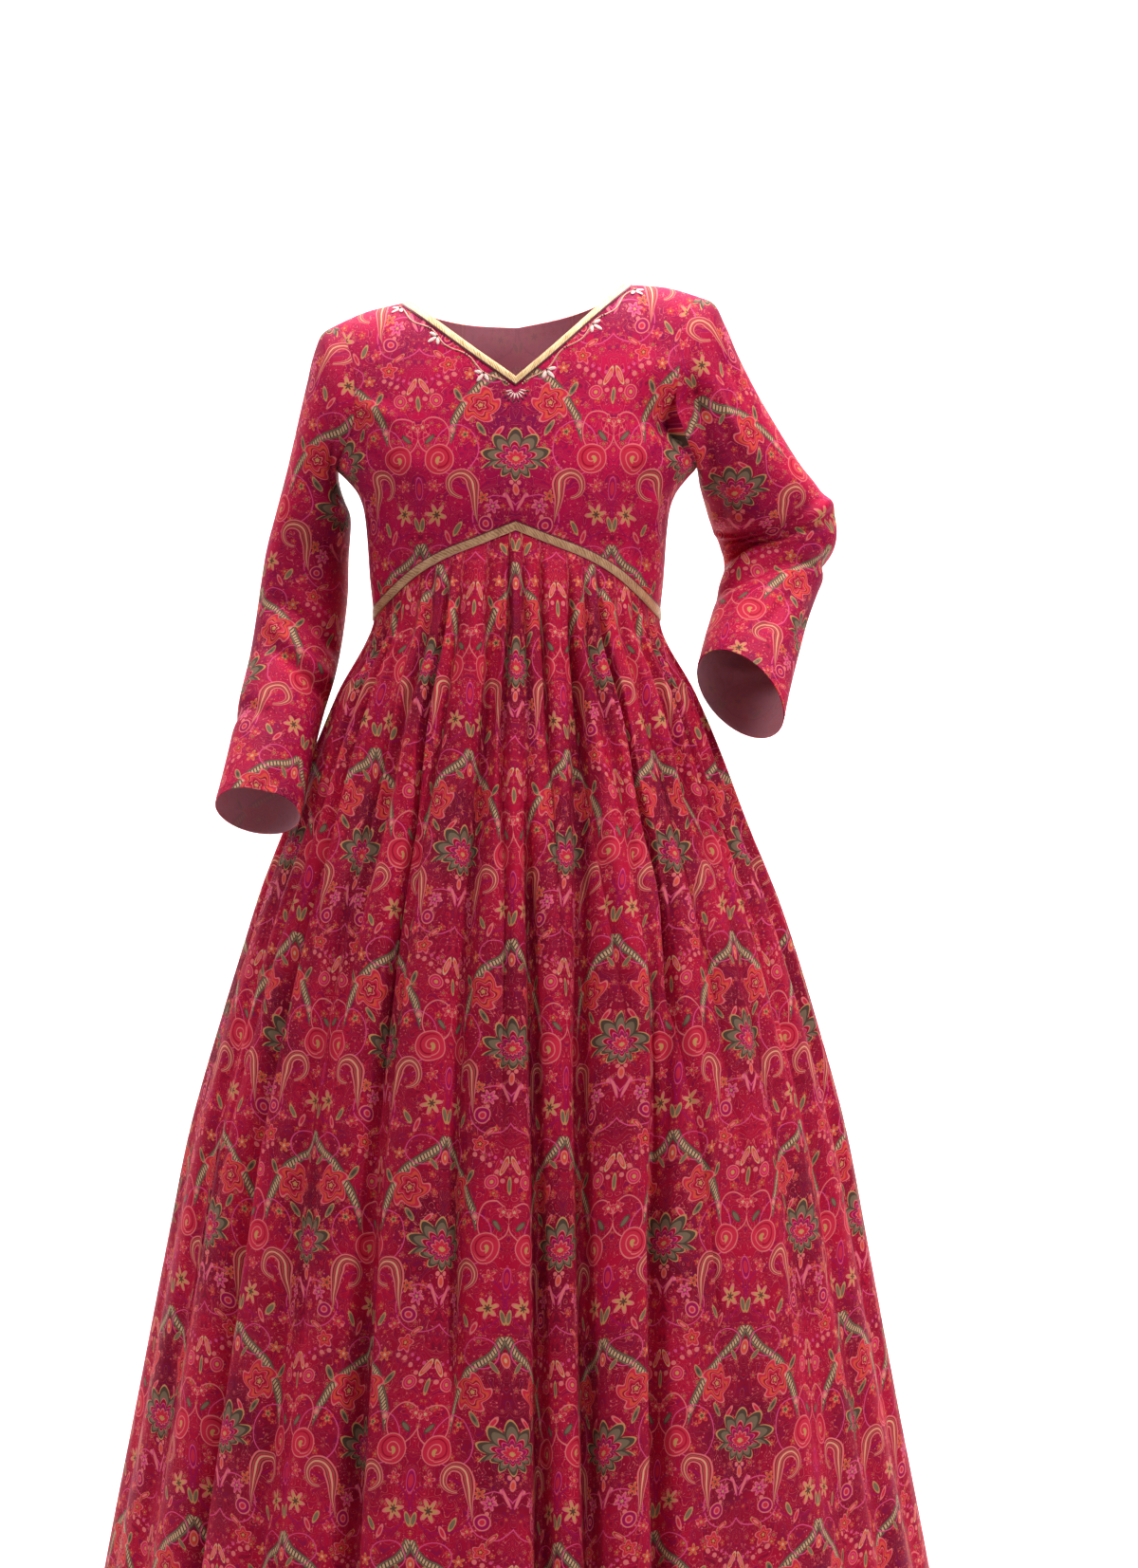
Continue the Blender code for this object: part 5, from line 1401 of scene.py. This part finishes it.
ARCH = (  # falls steeply from its peak on the axis, flattens over the rose, then falls to its foot
    ("run", "Math", "DIVIDE", "x", 9.0),
    ("back", "Math", "MULTIPLY", "run", -1.0),
    ("tip", "Math", "EXPONENT", "back"),
    ("share", "Math", "DIVIDE", "x", 62.0),
    ("square", "Math", "MULTIPLY", "share", "share"),
    ("cube", "Math", "MULTIPLY", "square", "share"),
    ("high", "Math", "MULTIPLY_ADD", "tip", 30.0, 84.0),
    ("line", "Math", "MULTIPLY_ADD", "cube", -46.0, "high"),
    ("tip_slope", "Math", "MULTIPLY", "tip", 3.3),
    ("slope", "Math", "MULTIPLY_ADD", "square", 2.2, "tip_slope"),
    ("one_more", "Math", "MULTIPLY_ADD", "slope", "slope", 1.0),
    ("lean", "Math", "SQRT", "one_more"),
    ("off", "Math", "SUBTRACT", "y", "line"),
    ("off_lean", "Math", "DIVIDE", "off", "lean"),
    ("width", "Math", "DIVIDE", "off_lean", 4.6),
    ("at", "Math", "ABSOLUTE", "width"),
    ("along", "Math", "SUBTRACT", "x", "y"),
    ("slant", "Math", "MULTIPLY_ADD", "off_lean", 0.5, "along"),
    ("twist", "Math", "PINGPONG", "slant", 2.5),
    ("strand", "Math", "LESS_THAN", "twist", 1.5),
    ("core", "Math", "LESS_THAN", "at", 0.50),
    ("rope", "Math", "MULTIPLY", "strand", "core"),
    ("here", "Math", "LESS_THAN", "x", 68.0),
)
DOTS = (  # one dot for every few millimetres across, on a curve that falls towards the axis
    ("cell", "Math", "SNAP", "x", "pitch"),
    ("centre", "Math", "ADD", "cell", "half_pitch"),
    ("share", "Math", "MULTIPLY_ADD", "centre", "slope", "start"),
    ("short", "Math", "LESS_THAN", "share", 0.0),
    ("curve", "Math", "POWER", "share", "bend"),
    ("line", "Math", "MULTIPLY_ADD", "curve", "fall", "top"),
    ("dx", "Math", "SUBTRACT", "x", "centre"),
    ("dy", "Math", "SUBTRACT", "y", "line"),
    ("dx2", "Math", "MULTIPLY", "dx", "dx"),
    ("dy2", "Math", "MULTIPLY_ADD", "dy", "dy", "dx2"),
    ("d2", "Math", "MULTIPLY_ADD", "short", 99.0, "dy2"),
)


# %% Printing the block
RIM = 0.8  # a motif's rim is at this much of its ramp, which leaves room for no ink beyond it
CURL_COVER, FLORET_COVER = 0.65, 0.85  # how strongly the small inks print
LOTUS_HEART = 0.36  # the dark lines between the petals start this far out


def lay(tree, ground, ink, cover):
    """Prints one ink over what is there already."""
    return add(tree, "Mix", {0: cover, 6: ground, 7: ink}, data_type="RGBA").outputs[2]


def inked(tree, at, stops, share=RIM):
    """The colour and the cover of flat inks, by how far out a point lies times share."""
    if share is not None:
        at = add(tree, "Math", {0: at, 1: share}, operation="MULTIPLY").outputs[0]
    ramp = add(tree, "ValToRGB", {0: at}, stops=stops)
    ramp.color_ramp.interpolation = "CONSTANT"
    return ramp.outputs


def own_frame(tree, place, at_mm, turn, size):
    """A motif's own place: from its middle, turned back by turn degrees, in its own sizes."""
    sockets = {0: place, 1: (*at_mm, 0), 2: (0, 0, math.radians(turn)), 3: size}
    own = add(tree, "Mapping", sockets, vector_type="TEXTURE").outputs[0]
    return own, add(tree, "SeparateXYZ", {0: own}).outputs


def jaal():
    """The node group of the print: the place on the cloth, in metres, and two grounds to a colour."""
    tree = bpy.data.node_groups.new("lotus_jaal", "ShaderNodeTree")
    for name, kind in (("Place on the cloth", "NodeSocketVector"), ("Ground", "NodeSocketColor"),
        ("Deep ground", "NodeSocketColor")):
        tree.interface.new_socket(name, in_out="INPUT", socket_type=kind)
    tree.interface.new_socket("Print", in_out="OUTPUT", socket_type="NodeSocketColor")
    given = tree.nodes.new("NodeGroupInput")
    in_mm = add(tree, "VectorMath", {0: given.outputs[0], 3: 1000.0}, operation="SCALE").outputs[0]
    # The cloth is never quite square to the screen, so the print wanders by a millimetre
    wander = add(tree, "TexNoise", {"Vector": in_mm, "Scale": 0.03, "Detail": 1.0}, noise_dimensions="2D")
    shift = add(tree, "VectorMath", {0: wander.outputs["Color"], 1: (0.5, 0.5, 0.5)},
        operation="SUBTRACT").outputs[0]
    moved = add(tree, "VectorMath", {0: shift, 1: (5.0, 5.0, 0.0), 2: in_mm},
        operation="MULTIPLY_ADD").outputs[0]
    split = add(tree, "SeparateXYZ", {0: moved})
    known = work_out(tree, {"u": split.outputs[0], "v": split.outputs[1]}, (
        ("v_up", "Math", "SUBTRACT", "v", BLOCK_FROM),
        ("rows", "Math", "DIVIDE", "v_up", BLOCK[1]),
        ("row", "Math", "FLOOR", "rows"),
        ("y", "Math", "MULTIPLY_ADD", "row", -BLOCK[1], "v"),
        ("u_row", "Math", "MULTIPLY_ADD", "row", BLOCK[0], "u"),
        ("x", "Math", "PINGPONG", "u_row", BLOCK[0]),
    ))
    x, y = known["x"], known["y"]
    place = add(tree, "CombineXYZ", {0: x, 1: y}).outputs[0]

    # Ground: two dyes that shade into each other, deeper inside the arch
    cloud = add(tree, "TexNoise", {"Vector": in_mm, "Scale": 0.012, "Detail": 2.0}, noise_dimensions="2D")
    got = work_out(tree, {"x": x, "y": y, "cloud": cloud.outputs[0]}, (
        ("x_turn", "Math", "MULTIPLY", "x", math.pi / BLOCK[0]),
        ("y_turn", "Math", "MULTIPLY_ADD", "y", math.pi / BLOCK[1], -0.16),
        ("x_wave", "Math", "COSINE", "x_turn"),
        ("y_wave", "Math", "COSINE", "y_turn"),
        ("arch", "Math", "MULTIPLY", "x_wave", "y_wave"),
        ("amount", "Math", "MULTIPLY_ADD", "arch", 0.30, "cloud"),
    ))
    depth = add(tree, "MapRange", {0: got["amount"], 1: 0.30, 2: 0.85}).outputs[0]
    cloth = lay(tree, given.outputs[1], given.outputs[2], depth)

    # Curls and tendrils between the motifs, where noise crosses a level. They mirror across the axes as well
    mirrored = add(tree, "CombineXYZ", {0: x, 1: split.outputs[1]}).outputs[0]
    tangle = add(tree, "TexNoise", {"Vector": mirrored, "Scale": 0.075, "Detail": 0.6, "Distortion": 1.1},
        noise_dimensions="2D")
    curls = inked(tree, tangle.outputs[0], share=None, stops=[
        (0.0, None), (0.30, INK["plum"]), (0.36, None), (0.408, INK["salmon"]), (0.420, None),
            (0.452, INK["wine"]),
        (0.475, None), (0.517, INK["rose"]), (0.533, None), (0.57, INK["plum"]), (0.597, None),
        (0.628, INK["salmon"]),
        (0.638, None)])
    part_ink = add(tree, "Math", {0: curls[1], 1: CURL_COVER}, operation="MULTIPLY").outputs[0]
    cloth = lay(tree, cloth, curls[0], part_ink)

    # Small five-petalled flowers and dots, one in each cell and no two of one size
    for pitch, least, spread, stops in (
        (6.5, -0.5, 1.9, rings((0, "salmon"), (0.70, "rose"), (1.0, None))),
        (16.0, -0.4, 5.0, rings((0, "dark"), (0.22, "gold"), (0.40, "red"), (0.64, "rose"), (0.88, "salmon"),
        (1.0, None))),
        (23.0, -0.4, 6.0, rings((0, "gold"), (0.30, "red"), (0.52, "orange"), (0.84, "rose"), (1.0, None))),
    ):
        cells = add(tree, "TexVoronoi", {"Vector": mirrored, "Scale": 1 / pitch, "Randomness": 0.8},
            voronoi_dimensions="2D")
        chance = add(tree, "SeparateXYZ", {0: cells.outputs["Color"]})
        own = add(tree, "VectorMath", {0: mirrored, 1: cells.outputs["Position"]},
            operation="SUBTRACT").outputs[0]
        part = add(tree, "SeparateXYZ", {0: own})
        got = work_out(tree, {"own": own, "x": part.outputs[0], "y": part.outputs[1],
            "chance": chance.outputs[0]}, (
            ("r", "VectorMath", "LENGTH", "own"),
            ("angle", "Math", "ARCTAN2", "y", "x"),
            ("spin", "Math", "MULTIPLY", "chance", 6.0),
            ("lobes", "Math", "MULTIPLY_ADD", "angle", 5.0, "spin"),
            ("wave", "Math", "COSINE", "lobes"),
            ("edge", "Math", "MULTIPLY_ADD", "wave", 0.24, 0.76),
            ("any_size", "Math", "MULTIPLY_ADD", "chance", spread, least),
            ("size", "Math", "MAXIMUM", "any_size", 0.02),
            ("wide", "Math", "MULTIPLY", "edge", "size"),
            ("at", "Math", "DIVIDE", "r", "wide"),
        ))
        inks = inked(tree, got["at"], stops)
        part_ink = add(tree, "Math", {0: inks[1], 1: FLORET_COVER}, operation="MULTIPLY").outputs[0]
        cloth = lay(tree, cloth, inks[0], part_ink)

    # Strings of dots that fall towards the sprig on the axis
    for facts, size, ink in (
        ({"pitch": 7.6, "half_pitch": 3.8, "slope": 1 / 38, "start": -64 / 38, "bend": 1.6, "fall": -34.0,
            "top": 88.0}, 2.5, "salmon"),
        ({"pitch": 6.4, "half_pitch": 3.2, "slope": 1 / 38, "start": -64 / 38, "bend": 1.3, "fall": -17.0,
        "top": 94.0}, 1.7, "pink"),
        ({"pitch": 7.6, "half_pitch": 3.8, "slope": -1 / 50, "start": 1.0, "bend": 1.5, "fall": 62.0,
        "top": -84.0}, 2.2, "salmon"),
    ):
        got = work_out(tree, {"x": x, "y": y, **facts}, DOTS)
        dot = add(tree, "Math", {0: got["d2"], 1: size**2}, operation="LESS_THAN").outputs[0]
        cloth = lay(tree, cloth, colour(INK[ink]), dot)

    # The roped arch
    got = work_out(tree, {"x": x, "y": y}, ARCH)
    rope = inked(tree, got["at"], rings((0, "dark"), (0.60, "olive"), (0.84, "dark"), (1.0, None)))
    cover = add(tree, "Math", {0: rope[1], 1: got["here"]}, operation="MULTIPLY").outputs[0]
    cloth = lay(tree, cloth, rope[0], cover)
    strand = add(tree, "Math", {0: got["rope"], 1: got["here"]}, operation="MULTIPLY").outputs[0]
    cloth = lay(tree, cloth, colour(INK["cream"]), strand)

    # Motifs of rings
    for mx, my, turn, wide, high, petals, cut, stops in MOTIFS:
        own, part = own_frame(tree, place, (mx, my), turn, (wide, high, 1))
        radius = add(tree, "VectorMath", {0: own}, operation="LENGTH").outputs["Value"]
        share = RIM
        if petals:
            share = work_out(tree, {"x": part[0], "y": part[1], "r": radius}, (
                ("angle", "Math", "ARCTAN2", "y", "x"),
                ("lobes", "Math", "MULTIPLY", "angle", float(petals)),
                ("turned", "Math", "MULTIPLY_ADD", "r", 6.0 if wide > 15 else 0.0, "lobes"),
                ("wave", "Math", "COSINE", "turned"),
                ("edge", "Math", "MULTIPLY_ADD", "wave", cut, 1 - cut),
                ("shrink", "Math", "DIVIDE", RIM, "edge"),
            ))["shrink"]
        cloth = lay(tree, cloth, *inked(tree, radius, stops, share))

    # The fruit, the paisley and the lotus
    for sums, at_mm, turn, size, stops in (
        (FRUIT, (79, -4), 100, (15.5, 15.5, 1), rings(
            (0, "gold"), (0.14, "rose"), (0.38, "salmon"), (0.45, "rose"), (0.70, "red"), (0.80, "rose"),
            (0.92, "salmon"), (1.0, None))),
        (PAISLEY, (57, -32), 0, (1, 1, 1), rings(
            (0, "cream"), (0.14, "rose"), (0.40, "olive"), (0.52, "red"), (0.72, "salmon"), (1.0, None))),
        (LOTUS, (0, -6), 0, (38, 34, 1), rings(
            (0, "gold"), (0.10, "rose"), (0.26, "salmon"), (0.31, "magenta"), (0.42, "pink"), (0.46, "red"),
            (0.56, "salmon"), (0.60, "olive"), (0.80, "dark"), (0.94, "gold"), (1.0, None))),
    ):
        own, part = own_frame(tree, place, at_mm, turn, size)
        got = work_out(tree, {"place": own, "x": part[0], "y": part[1]}, sums)
        ink, cover = inked(tree, got["at"], stops)
        if sums is LOTUS:  # a dark line parts the petals outside the heart
            outer = add(tree, "Math", {0: got["at"], 1: LOTUS_HEART}, operation="GREATER_THAN").outputs[0]
            line = add(tree, "Math", {0: got["split"], 1: outer}, operation="MULTIPLY").outputs[0]
            ink = lay(tree, ink, colour(INK["dark"]), line)
        cloth = lay(tree, cloth, ink, cover)

    tree.links.new(cloth, tree.nodes.new("NodeGroupOutput").inputs[0])
    print("the print has", len(tree.nodes), "nodes")
    return tree

# %% [markdown]
# ## The cloth
#
# The cloth is a light cotton silk: a plain weave with a soft lustre, printed on its right side. The sheen of
# the fine fibres lightens its edges, and the weave and the slubs in its yarn break up its highlights. Its true
# threads are 0.2 mm apart, too fine to show from here, so the bump is drawn with yarns 1.2 mm apart and with
# slubs a few millimetres long. The wrong side shows the dye that has come through, duller and without the
# motifs' edges.

# %% Cloth finishes
def cloth_finish(name, ground, deep, rough):
    """The right side of the printed cloth: its print, its sheen, its weave and its slubs."""
    material = bpy.data.materials.new(name)
    material.use_nodes = True
    tree = material.node_tree
    shader = tree.nodes["Principled BSDF"]
    on_cloth = add(tree, "UVMap", uv_map="cloth").outputs[0]
    ink = add(tree, "Group", {}, node_tree=PRINT)
    tree.links.new(on_cloth, ink.inputs[0])
    ink.inputs[1].default_value, ink.inputs[2].default_value = colour(ground), colour(deep)
    tree.links.new(ink.outputs[0], shader.inputs["Base Color"])
    across = add(tree, "TexWave", {"Vector": on_cloth, "Scale": 260.0, "Distortion": 2.0, "Detail": 1.0},
        bands_direction="X")
    along = add(tree, "TexWave", {"Vector": on_cloth, "Scale": 260.0, "Distortion": 2.0, "Detail": 1.0},
        bands_direction="Y")
    weave = add(tree, "Math", {0: across.outputs["Fac"], 1: along.outputs["Fac"]},
        operation="MULTIPLY").outputs[0]
    slubs = add(tree, "TexNoise", {"Vector": on_cloth, "Scale": 160.0, "Detail": 3.0}).outputs[0]
    height = add(tree, "Math", {0: slubs, 1: 1.6, 2: weave}, operation="MULTIPLY_ADD").outputs[0]
    bump = add(tree, "Bump", {"Height": height, "Strength": 0.35, "Distance": 0.0004})
    tree.links.new(bump.outputs[0], shader.inputs["Normal"])
    shader.inputs["Roughness"].default_value = rough
    shader.inputs["Specular IOR Level"].default_value = 0.08
    shader.inputs["Sheen Weight"].default_value = 0.04
    shader.inputs["Sheen Roughness"].default_value = 0.40
    shader.inputs["Sheen Tint"].default_value = colour("#F04078")
    return material


PRINT = jaal()
# The same cloth has a slightly darker ground on the sleeves than on the bodice, and a darker one again on the skirt
finishes = {
    "bodice": cloth_finish("printed_cotton_silk_bodice", "#BE0A42", "#84043A", 0.60),
    "sleeve": cloth_finish("printed_cotton_silk_sleeve", "#B80A3C", "#800434", 0.60),
    "skirt": cloth_finish("printed_cotton_silk_skirt", "#AC0830", "#720424", 0.60),
}

# %% The wrong side and the braid
wrong_side = bpy.data.materials.new("cotton_silk_wrong_side")
wrong_side.use_nodes = True
tree = wrong_side.node_tree
shader = tree.nodes["Principled BSDF"]
on_cloth = add(tree, "UVMap", uv_map="cloth").outputs[0]
through = add(tree, "Group", {}, node_tree=PRINT)
tree.links.new(on_cloth, through.inputs[0])
through.inputs[1].default_value, through.inputs[2].default_value = colour("#CC6C8C"), colour("#BC6484")
dye = add(tree, "Mix", {0: 0.72, 6: through.outputs[0], 7: colour("#E0A8B4")}, data_type="RGBA").outputs[2]
tree.links.new(dye, shader.inputs["Base Color"])
threads = add(tree, "TexWave", {"Vector": on_cloth, "Scale": 260.0, "Distortion": 2.0},
    bands_direction="DIAGONAL")
bump = add(tree, "Bump", {"Height": threads.outputs["Fac"], "Strength": 0.3, "Distance": 0.0003})
tree.links.new(bump.outputs[0], shader.inputs["Normal"])
shader.inputs["Roughness"].default_value = 0.85



def zari_finish(name, shadow, gold, light, line_from):
    """Zari braid: flat gilt thread plaited over a silk core. It shines softly, and its plait is 2 mm long."""
    material = bpy.data.materials.new(name)
    material.use_nodes = True
    tree = material.node_tree
    shader = tree.nodes["Principled BSDF"]
    on_cloth = add(tree, "UVMap", uv_map="cloth").outputs[0]
    plait = add(tree, "TexWave", {"Vector": on_cloth, "Scale": 160.0, "Distortion": 6.0, "Detail": 2.0},
        bands_direction="DIAGONAL")
    worn = add(tree, "TexNoise", {"Vector": on_cloth, "Scale": 90.0, "Detail": 3.0}).outputs[0]
    mixed = add(tree, "Math", {0: plait.outputs["Fac"], 1: 0.35, 2: worn},
        operation="MULTIPLY_ADD").outputs[0]
    # Painted shade and painted highlights on the plait: its colour runs from the shaded tone through gold to the
    # lit one
    tone = add(tree, "ValToRGB", {0: mixed}, stops=[(0.42, shadow), (0.62, gold), (0.90, light)])
    # A dark line is coloured along the tape's inner edge
    from_edge = add(tree, "SeparateXYZ", {0: on_cloth}).outputs[1]
    sewn = add(tree, "MapRange", {0: from_edge, 1: line_from, 2: line_from + 0.0006}).outputs[0]
    toned = lay(tree, tone.outputs[0], colour("#5A1428"), sewn)
    tree.links.new(toned, shader.inputs["Base Color"])
    bump = add(tree, "Bump", {"Height": plait.outputs["Fac"], "Strength": 0.4, "Distance": 0.0004})
    tree.links.new(bump.outputs[0], shader.inputs["Normal"])
    shader.inputs["Roughness"].default_value = 0.45
    shader.inputs["Metallic"].default_value = 0.25
    return material


neck_zari = zari_finish("zari_braid_pale", "#B0824C", "#D8B27C", "#EBD0A2", 0.0060)
waist_zari = zari_finish("zari_braid_beige", "#9A6A4A", "#C08E68", "#D6AC84", 0.0080)

# %% Finish each piece
for kind, pieces in (("bodice", bodice), ("sleeve", sleeves), ("skirt", skirt)):
    for piece in pieces.values():
        piece.data.materials.append(finishes[kind])
        piece.data.materials.append(wrong_side)
for piece in braids:
    zari = waist_zari if "waist" in piece.name else neck_zari
    piece.data.materials.append(zari)
    piece.data.materials.append(zari)

# %% Stage, camera and light
BACK_SWEEP = ((-2.2, -1.50), (1.6, -1.50), (2.2, -1.42), (2.6, -1.15), (2.8, -0.6), (2.8, 4.0))  # y, z
HALF_FLOOR, SWEEP_LINES = 2.6, 80
rows = np.array(BACK_SWEEP)
line = np.stack([np.interp(np.linspace(0, run_length(rows)[-1], SWEEP_LINES), run_length(rows),
    rows[:, k]) for k in range(2)], axis=1)
sweep = bpy.data.meshes.new("floor")
corners = [(x, y, z) for y, z in line for x in (-HALF_FLOOR, HALF_FLOOR)]
sweep.from_pydata(corners, [], [(2 * k, 2 * k + 1, 2 * k + 3, 2 * k + 2) for k in range(SWEEP_LINES - 1)])
sweep.polygons.foreach_set("use_smooth", np.ones(SWEEP_LINES - 1, bool))
floor = bpy.data.objects.new("floor", sweep)
bpy.context.scene.collection.objects.link(floor)
# The sweep is painted paper on its front and clear on its back, so that the gown is seen from behind it too
sweep_paint = bpy.data.materials.new("painted_studio_sweep")
sweep_paint.use_nodes = True
nodes, links = sweep_paint.node_tree.nodes, sweep_paint.node_tree.links
nodes["Principled BSDF"].inputs["Base Color"].default_value = colour("#F4F3F1")
nodes["Principled BSDF"].inputs["Roughness"].default_value = 0.9
one_sided = nodes.new("ShaderNodeMixShader")
links.new(nodes.new("ShaderNodeNewGeometry").outputs["Backfacing"], one_sided.inputs[0])
links.new(nodes["Principled BSDF"].outputs[0], one_sided.inputs[1])
links.new(nodes.new("ShaderNodeBsdfTransparent").outputs[0], one_sided.inputs[2])
links.new(one_sided.outputs[0], nodes["Material Output"].inputs["Surface"])
floor.data.materials.append(sweep_paint)

CAMERA_AWAY = 5.0
camera = bpy.data.objects.new("camera", bpy.data.cameras.new("camera"))
bpy.context.scene.collection.objects.link(camera)
camera.location = (0.055, -CAMERA_AWAY, -0.5175)
camera.rotation_euler = (math.pi / 2, 0, 0)
camera.data.lens = 36 * CAMERA_AWAY / 1.653
camera.data.clip_end = 60
bpy.context.scene.camera = camera
bpy.context.scene.view_settings.view_transform = "Standard"


def soft_light(name, place, aim, size, power):
    """A rectangular studio light that the camera can't see, turned towards aim."""
    light = bpy.data.objects.new(name, bpy.data.lights.new(name, "AREA"))
    bpy.context.scene.collection.objects.link(light)
    light.data.shape = "RECTANGLE"
    light.data.size, light.data.size_y = size
    light.data.energy = power
    light.location = place
    light.visible_camera = False
    way = np.array(aim) - np.array(place)
    light.rotation_euler = (math.acos(-way[2] / np.linalg.norm(way)), 0,
        math.atan2(way[1], way[0]) - math.pi / 2)
    return light


soft_light("key", (2.9, -1.7, 1.1), (0, 0, -0.4), (0.8, 0.8), 62)
soft_light("top", (0.15, -0.50, 1.35), (0.05, 0.0, -0.15), (1.0, 0.6), 34)
soft_light("fill", (-2.8, -1.8, 1.1), (0, 0, -0.4), (0.8, 0.8), 31)
soft_light("backdrop", (0, 0.9, 2.2), (0, 2.8, -0.6), (5.0, 0.8), 360)
world = bpy.data.worlds.new("studio")
bpy.context.scene.world = world
world.use_nodes = True
world.node_tree.nodes["Background"].inputs["Color"].default_value = (1, 1, 1, 1)
# White round the sweep, and no light from it
for kind in ("diffuse", "glossy", "transmission", "scatter"):
    setattr(world.cycles_visibility, kind, False)
